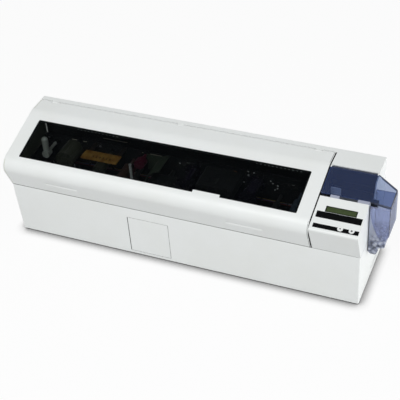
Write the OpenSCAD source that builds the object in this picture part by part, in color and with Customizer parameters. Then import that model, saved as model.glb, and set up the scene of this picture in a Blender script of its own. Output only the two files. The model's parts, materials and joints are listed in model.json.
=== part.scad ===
// Desktop id card printer with a built-in laminator.
// Seen from the front, cards are fed in at the right end, printed in the middle, turned over by a
// rotating flipper and laminated at the left. X runs along the machine towards the feeder, Y runs
// from front to rear and Z is up. Working coordinates start at the left end, at the plane of the
// lower front wall and on the floor; every node is then moved so that the origin lies under the
// middle of the whole machine.

/* [Casing] */
// Length of the casing from the left end to the feeder end
body_len = 870; // [860:1:900]
// Depth from the lower front wall to the rear wall
body_depth = 205; // [202:1:225]
// Height of the seam between the lower casing and the lid
seam_z = 142; // [140:1:144]
// Height of the flat top
top_z = 269; // [266:1:285]
// Wall thickness of the mouldings
wall = 3; // [2.6:0.1:3.4]
// How far the left end leans in at the bottom
end_draft = 7; // [4:1:10]
// Radius of the upright casing corners
corner_r = 3; // [2:0.5:4]
// Open line between two outer mouldings
seam_gap = 1; // [0.6:0.1:1.4]
// Height of the rubber feet that shows below the casing
foot_h = 3; // [2:0.5:4]
// Radius of a rubber foot
foot_r = 9; // [7:0.5:11]

/* [Upper profile] */
// How far the nose overhangs the lower front wall
nose_out = 31; // [26:1:34]
// Height of the nose corner
nose_z = 221; // [217:1:226]
// Depth of the flat top, from the slope to the rear wall
top_depth = 64; // [60:1:67]
// Nose radius of the lid
lid_nose_r = 27; // [20:1:30]
// Nose radius of the control panel
panel_nose_r = 5; // [3.5:0.5:7]
// Radius between the slope and the flat top
bend_r = 50; // [30:5:50]
// Radius of the rear top edge
rear_r = 4; // [3.5:0.5:8]

/* [Lid] */
// Length of the hinged lid
lid_len = 759; // [757:1:765]
// Open line between the lid and the control panel
panel_gap = 2; // [1:0.5:2]
// Distance of the lid hinge in front of the rear wall
hinge_back = 20; // [18:1:22]
// Radius of the bead along the rear edge of the lid
bead_r = 3.5; // [3.3:0.1:4]
// Radius of the lid hinge pins
lid_pin_r = 1.5; // [1.2:0.1:1.8]
// Width of a lid hinge ear
ear_w = 16; // [12:1:20]
// White frame left of the window and right of it
window_side = 34; // [28:1:40]
// White frame between the nose corner and the window, along the slope
window_low = 34; // [32:1:38]
// Height of the window along the slope
window_h = 116.5; // [110:0.5:120]
// Corner radius of the window
window_r = 3; // [2:0.5:6]
// Thickness of the smoked window
window_t = 1.6; // [1.4:0.1:2]
// Ledge that carries the window
ledge_w = 4; // [3:0.5:6]
// Distance from the left end to the finger tab
tab_x = 481; // [460:1:500]
// Width of the finger tab
tab_w = 65; // [50:1:80]
// How far the finger tab reaches into the window
tab_h = 7; // [4:0.5:9]
// Length of a finger recess under the nose
recess_len = 96; // [80:1:110]

/* [Front door] */
// Distance from the left end to the access door
door_x = 307; // [304:1:310]
// Width of the access door
door_w = 104; // [102:1:107]
// Height of the access door
door_h = 102; // [98:1:103]
// Height of the lower edge of the door above the floor
door_z = 11; // [10.5:0.5:12]
// Open line round the door
door_gap = 0.8; // [0.6:0.1:1]
// Radius of the door hinge pins
door_pin_r = 1; // [0.8:0.1:1.1]

/* [Feeder end] */
// Distance of the front edge of the feeder bay in front of the rear wall
bay_back = 147.5; // [146:0.5:148.5]
// How far the feeder cover reaches past the casing end
wing_out = 50; // [49:1:56]
// How far the output hopper stands out
hopper_out = 47; // [42:1:47]
// Wall thickness of the transparent mouldings
clear_t = 2.2; // [2:0.1:2.6]
// Radius of a control button
button_r = 6.2; // [5.5:0.1:6.6]
// Travel of a control button
button_travel = 1; // [0.6:0.1:1.1]
// Width of the display opening
lcd_w = 70; // [64:1:74]
// Height of the display opening along the slope
lcd_h = 16; // [14:0.5:17]

/* [Cards] */
// Length of a card
card_l = 85.6; // [85.5:0.05:85.7]
// Width of a card
card_w = 54; // [53.9:0.05:54.1]
// Height of the card path
card_z = 152; // [151.5:0.1:152.5]
// Middle of the card path in front of the rear wall
card_back = 113.5; // [113:0.1:114]
// Height of the stack of blank cards
stack_h = 44; // [30:1:48]

/* [Mechanism] */
// Radius of a rubber drive roller
drive_r = 8; // [7.5:0.1:8.3]
// Radius of the platen roller
platen_r = 10; // [9:0.1:10.5]
// Radius of the heated roller and of the pressure roller under it
hot_r = 12; // [11:0.1:12.4]
// Radius of the roller shafts
shaft_r = 4; // [3.5:0.1:4.2]
// Place of the printhead and platen along the machine
head_x = 480; // [478:1:482]
// Place of the flipper along the machine
flip_x = 366; // [364:1:368]
// Place of the heated roller along the machine
hot_x = 262; // [261:1:263]
// Flange radius of a ribbon spool
spool_r = 21; // [18:0.5:22]
// Radius of the laminate supply roll
laminate_r = 24; // [20:0.5:25]
// Number of teeth on a laminator gear
gear_teeth = 24; // [24:1:24]

/* [Hidden] */
$fn = 72;

// Clearances
run_gap = 0.05;   // radial, shaft in its bearing
slip_gap = 0.3;   // between parts that slide past each other
fit_gap = 0.1;    // between parts that are set into each other

// Colours
white_abs = "#eef0ef";
black_abs = "#1b1c1f";
tint_blue = [0.45, 0.50, 0.72, 0.45];
smoke = [0.05, 0.06, 0.07, 0.7];
steel = "#b9bcc0";
dark_steel = "#3a3c40";
rubber_black = "#202124";

// ---- profile helpers ----
// Outlines run anticlockwise, so the left side of each edge is the inside.
function left_normal(a, b) = let (d = b - a) [-d.y, d.x] / norm(d);
function normal_before(p, i) = left_normal(p[(i + len(p) - 1) % len(p)], p[i]);
function normal_after(p, i) = left_normal(p[i], p[(i + 1) % len(p)]);
function inset_corner(p, i, d) =
    let (n1 = normal_before(p, i), n2 = normal_after(p, i)) p[i] + d * (n1 + n2) / (1 + n1 * n2);

module rounded_outline(p, radii, inset = 0) {
    polygon([for (i = [0:len(p) - 1])
        let (r = max(radii[i] - inset, 0), c = inset_corner(p, i, inset + r))
        each r > 0 ? [c - r * normal_before(p, i), c - r * normal_after(p, i)] : [c]]);
    for (i = [0:len(p) - 1])
        if (radii[i] > inset)
            translate(inset_corner(p, i, radii[i])) circle(radii[i] - inset);
}

module rounded_rect(w, h, r) {
    rounded_outline([[0, 0], [w, 0], [w, h], [0, h]], [r, r, r, r]);
}

// 2D (y, z) drawn along X
module along_x(x0, x1) {
    translate([x0, 0, 0]) rotate([90, 0, 90]) linear_extrude(x1 - x0) children();
}

// 2D (x, z) drawn along Y
module along_y(y0, y1) {
    translate([0, y1, 0]) rotate([90, 0, 0]) linear_extrude(y1 - y0) children();
}

module block(low, high) {
    translate(low) cube(high - low);
}

// Revolved bar along Z with its two ends rounded
module round_bar(h, r, low_r, high_r) {
    rotate_extrude() intersection() {
        rounded_outline([[0, 0], [r, 0], [r, h], [0, h]], [0, low_r, high_r, 0]);
        square([r, h]);
    }
}

module rod_x(y, z, x0, x1, r) {
    translate([x0, y, z]) rotate([0, 90, 0]) cylinder(h = x1 - x0, r = r);
}

module rod_y(x, z, y0, y1, r) {
    translate([x, y1, z]) rotate([90, 0, 0]) cylinder(h = y1 - y0, r = r);
}

module rod_z(x, y, z0, z1, r) {
    translate([x, y, z0]) cylinder(h = z1 - z0, r = r);
}

// ---- derived places ----
bend_y = body_depth - top_depth;
hinge_y = body_depth - hinge_back;
bay_y = body_depth - bay_back;
card_y = body_depth - card_back;
slope_a = atan2(top_z - nose_z, bend_y + nose_out);
slope_len = norm([bend_y + nose_out, top_z - nose_z]);
feeder_x = lid_len + panel_gap;
wing_x = body_len + wing_out;
upper_points = [[0, seam_z], [body_depth, seam_z], [body_depth, top_z], [bend_y, top_z], [-nose_out, nose_z]];
front_y = inset_corner(upper_points, 4, panel_nose_r).x - panel_nose_r;
mid_x = wing_x / 2;
mid_y = (front_y + body_depth) / 2;

module place() {
    translate([-mid_x, -mid_y, 0]) children();
}

// The slope: x along the machine, y up the slope from the nose corner, z out of the surface
module on_slope() {
    translate([0, -nose_out, nose_z]) rotate([slope_a, 0, 0]) children();
}

function slope_at(y) = (y + nose_out) / cos(slope_a);
function slope_z(y) = nose_z + (y + nose_out) * tan(slope_a);

module upper_section(nose_r, inset = 0) {
    rounded_outline(upper_points, [0, 0, rear_r, bend_r, nose_r], inset);
}

// Region of a section between two y values
module y_band(y0, y1) {
    translate([y0, 0]) square([y1 - y0, 2 * top_z]);
}

// ---- lower casing ----
pan_t = 1.5;
pan_z = foot_h + wall;
pan_top = pan_z + pan_t;
casing_top = seam_z - seam_gap / 2;
lip_w = 7;
foot_x = [60, body_len / 2, body_len - 60];
foot_y = [30, body_depth - 30];
foot_screw_r = 1.5;
side_relief = 1;
relief_y = 97;
relief_z = 20;
slot_w = 4;
slot_pitch = 10;
slot_count = 12;
fan_x = 160;
fan_z = 84;
fan_size = 60;
grille_pitch = 6.5;
grille_slot = 4;
inlet_x = 806;
inlet_z = 44;
inlet_w = 28;
inlet_h = 20;
switch_x = 762;
switch_w = 13;
switch_h = 20;
port_x = 672;
port_w = 62;
port_h = 26;
peg_y = [card_y - 24, card_y + 24];
peg_z = 120;
peg = 5;

module casing_solid(inset = 0) {
    intersection() {
        along_y(inset, body_depth - inset)
            polygon([[end_draft + inset, foot_h], [body_len - inset, foot_h],
                     [body_len - inset, casing_top], [inset, casing_top]]);
        translate([inset, inset, 0]) linear_extrude(top_z)
            rounded_rect(body_len - 2 * inset, body_depth - 2 * inset, max(corner_r - inset, 0.4));
    }
}

// Row of upright ventilation slots through a rear wall
module rear_slots(x, z, h, count) {
    for (i = [0:count - 1])
        block([x + i * slot_pitch, body_depth - wall - 1, z], [x + i * slot_pitch + slot_w, body_depth + 1, z + h]);
}

module base_casing() {
    color(white_abs) place() difference() {
        union() {
            difference() {
                casing_solid();
                difference() {
                    casing_solid(wall);
                    block([-1, -1, 0], [body_len + 1, body_depth + 1, pan_z]);
                }
                block([end_draft + lip_w, lip_w, 0], [body_len - lip_w, body_depth - lip_w, pan_z + 1]);
                translate([0, 0, casing_top - 1]) linear_extrude(2)
                    translate([wall, wall]) square([body_len - 2 * wall, body_depth - 2 * wall]);
            }
            // bosses for the two door pins
            block([door_x - 2, wall - 0.5, pan_top + slip_gap], [door_x + 9, door_boss_y, door_z - door_gap]);
            block([door_x - 2, wall - 0.5, door_z + door_h + door_gap], [door_x + 9, door_boss_y, door_z + door_h + 10]);
        }
        block([door_x - door_gap, -1, door_z - door_gap],
              [door_x + door_w + door_gap, door_boss_y + 1, door_z + door_h + door_gap]);
        rod_z(door_hinge_x, door_hinge_y, door_z - door_pin_len, door_z, door_pin_r + run_gap);
        rod_z(door_hinge_x, door_hinge_y, door_z + door_h, door_z + door_h + door_pin_len, door_pin_r + run_gap);
        // shallow panel relief on the feeder end
        translate([body_len - side_relief, relief_y, relief_z]) rotate([90, 0, 90])
            linear_extrude(side_relief + 1) rounded_rect(body_depth - relief_y - 10, seam_z - relief_z - 30, 12);
        for (y = peg_y)
            block([body_len - wall - 1, y - peg / 2 - slip_gap, peg_z - peg / 2 - slip_gap],
                  [body_len + 1, y + peg / 2 + slip_gap, peg_z + peg / 2 + slip_gap]);
        // fan grille: four rings, crossed by two bars
        along_y(body_depth - wall - 1, body_depth + 1) translate([fan_x, fan_z]) difference() {
            for (ring = [0:3]) difference() {
                circle(fan_size / 2 - 3 - grille_pitch * ring);
                circle(fan_size / 2 - 3 - grille_slot - grille_pitch * ring);
            }
            for (a = [45, 135]) rotate(a) square([fan_size, grille_pitch - grille_slot], center = true);
        }
        block([inlet_x - inlet_w / 2 - fit_gap, body_depth - wall - 1, inlet_z - inlet_h / 2 - fit_gap],
              [inlet_x + inlet_w / 2 + fit_gap, body_depth + 1, inlet_z + inlet_h / 2 + fit_gap]);
        block([switch_x - switch_w / 2 - 1 - fit_gap, body_depth - wall - 1, inlet_z - switch_h / 2 - 1 - fit_gap],
              [switch_x + switch_w / 2 + 1 + fit_gap, body_depth + 1, inlet_z + switch_h / 2 + 1 + fit_gap]);
        block([port_x, body_depth - wall - 1, inlet_z - port_h / 2],
              [port_x + port_w, body_depth + 1, inlet_z + port_h / 2]);
        rear_slots(300, 60, 50, slot_count);
        rear_slots(500, 60, 50, slot_count);
    }
}

module base_pan() {
    color(steel) place() difference() {
        block([end_draft + wall + 2, wall + 1, pan_z], [body_len - wall - 1, body_depth - wall - 1, pan_top]);
        for (x = foot_x, y = foot_y) rod_z(x, y, pan_z - 1, pan_top + 1, foot_screw_r + run_gap);
        for (x = [130, 180, 230, 520, 570, 620], i = [0:3])
            block([x, 70 + i * 14, pan_z - 1], [x + 34, 75 + i * 14, pan_top + 1]);
    }
}

module rubber_feet() {
    color(rubber_black) place() for (x = foot_x, y = foot_y) translate([x, y, 0]) difference() {
        rotate_extrude() polygon([[0, 0], [foot_r - 1, 0], [foot_r, 1], [foot_r - 0.5, pan_z], [0, pan_z]]);
        translate([0, 0, -1]) cylinder(h = pan_z + 2, r = foot_screw_r + run_gap);
        translate([0, 0, -1]) cylinder(h = 3, r = 4);
    }
}

// Pan-head screws that hold the feet and the pan
module case_screws() {
    color(steel) place() for (x = foot_x, y = foot_y) translate([x, y, 0]) {
        translate([0, 0, 0.9]) cylinder(h = 1.1, r = 3);
        translate([0, 0, 1.9]) cylinder(h = pan_top + 1.5 - 1.9, r = foot_screw_r);
    }
}

// ---- upper housing: rear strip, cap, control panel and feeder bay ----
housing_z = seam_z;
lid_z = seam_z + seam_gap / 2;
hinge_z = top_z - bead_r;
strip_y = hinge_y + bead_r + 1;
side_t = 2.5;
cap_y = bend_y + 1.5;
panel_s = slope_at(bay_y);
cover_rear_s = slope_len - 0.5;
cover_bead_r = 2.5;
cover_bead_rise = 0.3;
cover_pin_r = 1;
cover_hinge_s = cover_rear_s - cover_bead_r;
cover_hinge_n = cover_bead_rise - cover_bead_r;
cover_hinge_y = -nose_out + cover_hinge_s * cos(slope_a) - cover_hinge_n * sin(slope_a);
cover_hinge_z = nose_z + cover_hinge_s * sin(slope_a) + cover_hinge_n * cos(slope_a);
cover_ears = [feeder_x, body_len - side_t];
cover_bead_x = [feeder_x + side_t + slip_gap, body_len - side_t - slip_gap];
cover_pin_len = 9;
lid_ears = [40, lid_len / 2, lid_len - 40];
lcd_x = feeder_x + 21.5;
lcd_s = slope_at(20);
label_t = 0.5;
upper_label = [feeder_x + 5.5, slope_at(3.3), 100.5, 16.8];
lower_label = [feeder_x + 6.5, slope_at(-22.5), 100.5, 11];
button_s = slope_at(-14.5);
left_button_x = feeder_x + 66;
right_button_x = feeder_x + 91;
board_n = -12.5;
bay_floor_z = card_z - 3;
finger_y0 = 70;
finger_y1 = 128;
tray_top = slope_z(bay_y) - 17.7;
finger_z = tray_top - 14;
exit_z0 = seam_z + 1.5;
exit_z1 = bay_floor_z - 0.5;

module hinge_eye(y, z, r, arm_y, arm_h) {
    translate([y, z]) circle(r);
    translate([y, z - arm_h / 2]) square([arm_y - y, arm_h]);
}

module panel_shell() {
    difference() {
        union() {
            along_x(feeder_x, body_len) difference() {
                upper_section(panel_nose_r);
                upper_section(panel_nose_r, wall);
                translate([wall, 0]) square([body_depth - 2 * wall, seam_z + wall + 1]);
            }
            for (x = [feeder_x, body_len - side_t])
                along_x(x, x + side_t) upper_section(panel_nose_r);
            // walls of the feeder bay
            along_x(feeder_x + 1, body_len - 1) intersection() {
                upper_section(panel_nose_r, 1);
                union() {
                    translate([bay_y - side_t, bay_floor_z]) square([side_t, top_z]);
                    translate([cap_y, bay_floor_z]) square([side_t, top_z]);
                }
            }
        }
        // bay opening; both end walls stay below the cover
        along_x(feeder_x - 1, body_len + 1) intersection() {
            polygon([[bay_y, 0], [cap_y, 0], [cap_y, 2 * top_z], [bay_y, 2 * top_z]]);
            translate([-nose_out, nose_z]) rotate(slope_a)
                translate([0, -2 * cover_bead_r - 0.5]) square([2 * slope_len, 60]);
        }
        // finger cut-out in the end wall of the bay
        along_x(body_len - side_t - 1, body_len + 1)
            polygon([[finger_y0, finger_z], [finger_y1 - 25, finger_z], [finger_y1 + 6, top_z + 20], [finger_y0, top_z + 20]]);
        // card slots towards the printer and out to the hopper
        block([feeder_x - 1, card_y - 31, card_z - 9], [feeder_x + side_t + 1, card_y + 31, card_z + 5]);
        block([body_len - side_t - 1, card_y - 29, exit_z0], [body_len + 1, card_y + 29, exit_z1]);
    }
}

module upper_housing() {
    color(white_abs) place() difference() {
        union() {
            panel_shell();
            // rear wall and rear strip behind the lid
            along_x(0, feeder_x + 1) intersection() {
                difference() {
                    upper_section(panel_nose_r);
                    upper_section(panel_nose_r, wall);
                    translate([0, housing_z - 1]) square([body_depth - wall, wall + 2]);
                }
                y_band(strip_y, body_depth);
            }
            // cheek that closes the left end behind the lid
            along_x(0, wall) difference() {
                intersection() {
                    upper_section(panel_nose_r);
                    y_band(hinge_y + 0.6, body_depth);
                }
                translate([hinge_y, hinge_z]) circle(bead_r + 0.7);
                translate([0, hinge_z]) square([strip_y, top_z]);
            }
            for (x = lid_ears) along_x(x - ear_w / 2, x + ear_w / 2)
                hinge_eye(hinge_y, hinge_z, bead_r - 0.2, strip_y + 1, 2 * (bead_r - 0.3));
            for (x = cover_ears) along_x(x, x + side_t)
                hinge_eye(cover_hinge_y, cover_hinge_z, cover_bead_r - 0.2, cap_y + 1, 2 * (cover_bead_r - 0.3));
        }
        rod_x(hinge_y, hinge_z, -1, lid_len, lid_pin_r + run_gap);
        rod_x(cover_hinge_y, cover_hinge_z, feeder_x - 1, body_len + 1, cover_pin_r + run_gap);
        // display opening, label recesses and button holes
        on_slope() {
            block([lcd_x, lcd_s, -wall - 1], [lcd_x + lcd_w, lcd_s + lcd_h, 1]);
            for (box = [upper_label, lower_label])
                block([box[0], box[1], -label_t], [box[0] + box[2], box[1] + box[3], 1]);
            for (x = [left_button_x, right_button_x])
                translate([x, button_s, -wall - 2]) cylinder(h = wall + 4, r = button_r + slip_gap);
        }
        rear_slots(80, seam_z + 40, 50, slot_count);
        rear_slots(560, seam_z + 40, 50, slot_count);
    }
}

// ---- lid ----
lid_side = 3;
window_x0 = window_side;
window_x1 = lid_len - window_side;
rebate = window_t + 0.2;
rim_t = 3;
recess_x = [146, 607];
recess_z = 176;
recess_r = 10;
recess_depth = 2;
under_a = atan2(nose_z - seam_z, nose_out);
notch_z = card_z + 14;

module window_outline(grow) {
    difference() {
        translate([window_x0 - grow, window_low - grow])
            rounded_rect(window_x1 - window_x0 + 2 * grow, window_h + 2 * grow, window_r + grow);
        translate([tab_x, window_low - 20]) square([tab_w, 20 + tab_h - grow]);
    }
}

module lid_blank() {
    difference() {
        along_x(0, lid_len) intersection() {
            upper_section(lid_nose_r);
            union() {
                y_band(-2 * nose_out, hinge_y - 1);
                translate([bend_y, hinge_z]) square([hinge_y - bend_y, bead_r]);
            }
        }
        along_x(lid_side, lid_len - lid_side) {
            upper_section(lid_nose_r, wall);
            translate([wall + 0.5, seam_z - 10]) square([hinge_y + 5 - wall, 10 + wall + 1]);
        }
        block([-1, -2 * nose_out, 0], [lid_len + 1, 2 * body_depth, lid_z]);
        along_x(-1, lid_len + 1) difference() {
            y_band(hinge_y - 1 - bead_r, hinge_y + 20);
            translate([0, hinge_z]) square([hinge_y, bead_r]);
        }
    }
}

module main_lid() {
    color(white_abs) place() difference() {
        union() {
            lid_blank();
            rod_x(hinge_y, hinge_z, 0, lid_len, bead_r);
            // stiffening rim under the window
            on_slope() difference() {
                translate([window_x0 - ledge_w - rim_t, window_low - ledge_w - rim_t, -wall - 4])
                    cube([window_x1 - window_x0 + 2 * (ledge_w + rim_t), window_h + 2 * (ledge_w + rim_t), 4.5]);
                translate([window_x0 - ledge_w, window_low - ledge_w, -wall - 5])
                    cube([window_x1 - window_x0 + 2 * ledge_w, window_h + 2 * ledge_w, 7]);
            }
        }
        // window opening and the rebate that takes the glazing
        on_slope() {
            translate([0, 0, -wall - 6]) linear_extrude(wall + 12) window_outline(-ledge_w);
            translate([0, 0, -rebate]) linear_extrude(rebate + 1) window_outline(0);
        }
        // finger recesses under the nose
        for (x = recess_x)
            translate([x, -nose_out * (recess_z - seam_z) / (nose_z - seam_z), recess_z])
                rotate([90 - under_a, 0, 0]) translate([-recess_len / 2, -recess_r + recess_depth, 0])
                    rotate([0, 90, 0]) round_bar(recess_len, recess_r, recess_r, recess_r);
        for (x = lid_ears) {
            block([x - ear_w / 2 - 0.5, hinge_y - bead_r - 0.9, hinge_z - 10],
                  [x + ear_w / 2 + 0.5, hinge_y + 10, top_z + 5]);
            rod_x(hinge_y, hinge_z, x - ear_w / 2 - 14, x + ear_w / 2 + 14, lid_pin_r + run_gap);
        }
        // way for the cards through the right-hand end wall
        block([lid_len - lid_side - 1, card_y - 33, seam_z - 5], [lid_len + 1, card_y + 33, notch_z]);
    }
}

module lid_window() {
    color(smoke) place() on_slope() translate([0, 0, -rebate + 0.05]) linear_extrude(window_t)
        window_outline(-fit_gap);
}

module lid_hinge_pins() {
    color(steel) place() for (x = lid_ears)
        rod_x(hinge_y, hinge_z, x - ear_w / 2 - 12, x + ear_w / 2 + 12, lid_pin_r);
}

// ---- front door and reject bin ----
door_t = 3;
door_bead_r = 2;
door_hinge_x = door_x + door_bead_r;
door_hinge_y = door_bead_r;
door_pin_len = 6;
door_boss_y = 6;
bin_t = 2;
bin_x0 = door_x + 7;
bin_x1 = door_x + door_w - 5;
bin_y0 = 9;
bin_y1 = 112;
bin_top = door_z + door_h - 12;

module front_door() {
    color(white_abs) place() difference() {
        union() {
            block([door_hinge_x, 0, door_z], [door_x + door_w, door_t, door_z + door_h]);
            rod_z(door_hinge_x, door_hinge_y, door_z, door_z + door_h, door_bead_r);
            // stiffening ribs
            for (z = [0.2, 0.5, 0.8])
                block([door_x + 12, door_t - 0.5, door_z + z * door_h - 1], [door_x + door_w - 8, door_t + 3, door_z + z * door_h + 1]);
            block([door_x + door_w - 10, door_t - 0.5, door_z + 8], [door_x + door_w - 8, door_t + 3, door_z + door_h - 8]);
        }
        rod_z(door_hinge_x, door_hinge_y, door_z - 1, door_z + door_pin_len, door_pin_r + run_gap);
        rod_z(door_hinge_x, door_hinge_y, door_z + door_h - door_pin_len, door_z + door_h + 1, door_pin_r + run_gap);
    }
}

module door_hinge_pins() {
    color(steel) place() {
        rod_z(door_hinge_x, door_hinge_y, door_z - 3, door_z + door_pin_len - 0.5, door_pin_r);
        rod_z(door_hinge_x, door_hinge_y, door_z + door_h - door_pin_len + 0.5, door_z + door_h + 5.5, door_pin_r);
    }
}

// Open-fronted, open-topped bin that catches rejected cards under the flipper
module reject_bin() {
    color(black_abs) place() difference() {
        block([bin_x0, bin_y0, pan_top], [bin_x1, bin_y1, bin_top]);
        block([bin_x0 + bin_t, bin_y0 - 1, pan_top + bin_t], [bin_x1 - bin_t, bin_y1 - bin_t, bin_top + 1]);
    }
}

// ---- control panel ----
module lcd_screen() {
    color("#55642f") place() on_slope()
        block([lcd_x + fit_gap, lcd_s + fit_gap, -wall - fit_gap],
              [lcd_x + lcd_w - fit_gap, lcd_s + lcd_h - fit_gap, -0.9]);
}

module lcd_module() {
    color("#1f3b2a") place() on_slope() {
        block([lcd_x - 5, lcd_s - 6, -wall - 6], [lcd_x + lcd_w + 5, lcd_s + lcd_h + 6, -wall - 2 * fit_gap]);
        for (x = [lcd_x - 2, lcd_x + lcd_w - 2])
            translate([x + 2, lcd_s - 3, -wall - 7]) cylinder(h = 1.2, r = 1.5);
    }
}

module label_strips() {
    color("#0c0d10") place() on_slope() difference() {
        for (box = [upper_label, lower_label])
            block([box[0] + fit_gap, box[1] + fit_gap, -label_t],
                  [box[0] + box[2] - fit_gap, box[1] + box[3] - fit_gap, 0.1]);
        for (x = [left_button_x, right_button_x])
            translate([x, button_s, -1]) cylinder(h = 2, r = button_r + slip_gap);
    }
}

module push_button(x) {
    color(white_abs) place() on_slope() translate([x, button_s, 0]) rotate_extrude()
        polygon([[0, 0.9], [3, 0.9], [3.6, 1.5], [button_r - 0.7, 1.5], [button_r, 0.8],
                 [button_r, -wall - slip_gap], [button_r + 1.3, -wall - slip_gap],
                 [button_r + 1.3, -wall - 1.3], [2, -wall - 1.3],
                 [2, board_n + button_travel + 2.3], [0, board_n + button_travel + 2.3]]);
}

module left_button() push_button(left_button_x);
module right_button() push_button(right_button_x);

module control_board() {
    color("#1d5136") place() on_slope() {
        block([left_button_x - 22, button_s - 8, board_n - 1.6], [right_button_x + 12, button_s + 12, board_n]);
        for (x = [left_button_x, right_button_x]) translate([x, button_s, board_n - 0.1]) {
            block([-3, -3, 0], [3, 3, 1]);
            cylinder(h = 2, r = 1.7);
        }
        // stand-offs up to the panel
        for (x = [left_button_x - 18, (left_button_x + right_button_x) / 2])
            translate([x, button_s + 9.5, board_n - 0.1]) cylinder(h = -wall - fit_gap - board_n + 0.1, r = 2);
    }
}

// ---- feeder cover, tray and cards ----
cover_front_s = slope_at(bay_y + 7.5);
wing_front_s = panel_s + 1.2;
wing_corner_s = slope_at(bend_y - 34);
rim_h = 5;
tray_x0 = feeder_x + side_t + 0.5;
tray_x1 = body_len - side_t - 0.5;
tray_y0 = bay_y + 0.5;
tray_y1 = cap_y - 0.5;
tray_t = 2;
tray_floor = card_z + 0.8;
stack_x = (tray_x0 + tray_x1) / 2;
stack_z = tray_floor + fit_gap;
layer_count = 11;
pick_x = stack_x - 9;
pick_r = 9;
pick_z = tray_floor - 0.4 - pick_r;
pick_shaft_r = 3;
notches = [[feeder_x - 1, feeder_x + 22], [feeder_x + 42, feeder_x + 83]];

// Outline of the cover with its wing, whose front edge swings forward
module cover_outline() {
    rounded_outline([[feeder_x, cover_front_s], [body_len, cover_front_s], [wing_x - 3, wing_front_s],
                     [wing_x, wing_corner_s], [body_len, cover_hinge_s], [feeder_x, cover_hinge_s]],
                    [0, 0, 4, 8, 0, 0]);
}

module feeder_cover() {
    color(tint_blue) place() difference() {
        union() {
            on_slope() translate([0, 0, -clear_t]) linear_extrude(clear_t) cover_outline();
            rod_x(cover_hinge_y, cover_hinge_z, cover_bead_x[0], cover_bead_x[1], cover_bead_r);
            // turned-down rim of the wing
            on_slope() translate([0, 0, -rim_h]) linear_extrude(rim_h) difference() {
                intersection() {
                    cover_outline();
                    translate([body_len + 8, 0]) square([wing_out, slope_len]);
                }
                rounded_outline([[body_len + 7, cover_front_s + 1], [wing_x - 5, wing_front_s + clear_t],
                                 [wing_x - clear_t, wing_corner_s - 1], [body_len + 7, cover_hinge_s - 7]], [0, 2, 6, 0]);
            }
        }
        // room for the two hinge ears
        on_slope() for (x = [[feeder_x - 1, cover_bead_x[0]], [cover_bead_x[1], body_len + slip_gap]])
            block([x[0], cover_hinge_s - cover_bead_r - 1, -9], [x[1], slope_len + 9, 5]);
        for (x = [cover_bead_x[0] - 1, cover_bead_x[1] - cover_pin_len])
            rod_x(cover_hinge_y, cover_hinge_z, x, x + cover_pin_len + 1, cover_pin_r + run_gap);
    }
}

// Frosted grip along the front edge of the cover, notched for the fingers
module cover_grip() {
    color([0.80, 0.82, 0.90]) place() on_slope() difference() {
        union() {
            block([feeder_x, panel_s + 0.4, -6], [body_len, cover_front_s, -1.2]);
            rod_x(panel_s + 2.4, -2, feeder_x, body_len, 2);
            block([feeder_x, panel_s + 2.4, -2], [body_len, cover_front_s, 0]);
        }
        for (n = notches) block([n[0], panel_s - 2, -7], [n[1], cover_front_s + 1, 2]);
        block([body_len - side_t - 0.5, panel_s - 2, -7], [body_len + 1, cover_front_s + 1, -3]);
    }
}

module cover_hinge_pins() {
    color(steel) place() for (x = [cover_ears[0] + fit_gap, cover_bead_x[1] - cover_pin_len + 1])
        rod_x(cover_hinge_y, cover_hinge_z, x, x + cover_pin_len + side_t - 1, cover_pin_r);
}

// Black tray in the feeder bay; the lowest card leaves it through the slot on the printer side
module card_tray() {
    guide_y = card_y + card_w / 2 + 1;
    color(black_abs) place() difference() {
        union() {
            block([tray_x0, tray_y0, bay_floor_z + 0.5], [tray_x1, tray_y1, tray_top]);
            // tongue through the finger cut-out
            block([tray_x1 - 1, finger_y0 + 14, finger_z + 2], [body_len + 12, finger_y0 + 30, tray_top]);
            // bearings of the pick roller
            for (y = [card_y - 29.5, card_y + 27.5])
                block([pick_x - 7, y, pick_z - 7], [pick_x + 7, y + 2, bay_floor_z + 1]);
        }
        block([tray_x0 + tray_t, tray_y0 + tray_t, tray_floor], [tray_x1 - tray_t, guide_y, tray_top + 1]);
        block([tray_x0 + tray_t, guide_y + tray_t, tray_floor], [tray_x1 - tray_t, tray_y1 - tray_t, tray_top + 1]);
        // card slot, roller window and finger cut-out
        block([tray_x0 - 1, card_y - 28, tray_floor], [tray_x0 + tray_t + 1, card_y + 28, tray_floor + 1.6]);
        block([pick_x - pick_r - 1, card_y - 21, bay_floor_z - 1], [pick_x + pick_r + 1, card_y + 21, tray_floor + 1]);
        block([tray_x1 - tray_t - 1, finger_y0 + 40, finger_z - 30], [tray_x1 + 1, guide_y - 3, tray_top + 1]);
        rod_y(pick_x, pick_z, card_y - 35, card_y + 35, pick_shaft_r + run_gap);
    }
}

module card_stack() {
    layer = stack_h / layer_count;
    color("#f4f4f1") place() for (i = [0:layer_count - 1]) {
        inset = i % 2 == 0 ? 0 : 0.2;
        translate([stack_x - card_l / 2 + inset, card_y - card_w / 2 + inset, stack_z + i * layer])
            linear_extrude(layer) rounded_rect(card_l - 2 * inset, card_w - 2 * inset, 3.2);
    }
}

// Weight that presses the stack on the pick roller
module card_weight() {
    z = stack_z + stack_h + fit_gap;
    color("#8d8a86") place() {
        translate([stack_x - card_l / 2 + 1, card_y - card_w / 2 + 1, z]) linear_extrude(6)
            rounded_rect(card_l - 2, card_w - 2, 4);
        translate([stack_x - 37.5, card_y - 21, z + 5]) linear_extrude(17) rounded_rect(26, 26, 3);
    }
}

module pick_roller() {
    color("#4a4d52") place() {
        rod_y(pick_x, pick_z, card_y - 32, card_y + 32, pick_shaft_r);
        rod_y(pick_x, pick_z, card_y - 19, card_y + 19, pick_r);
    }
}

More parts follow.
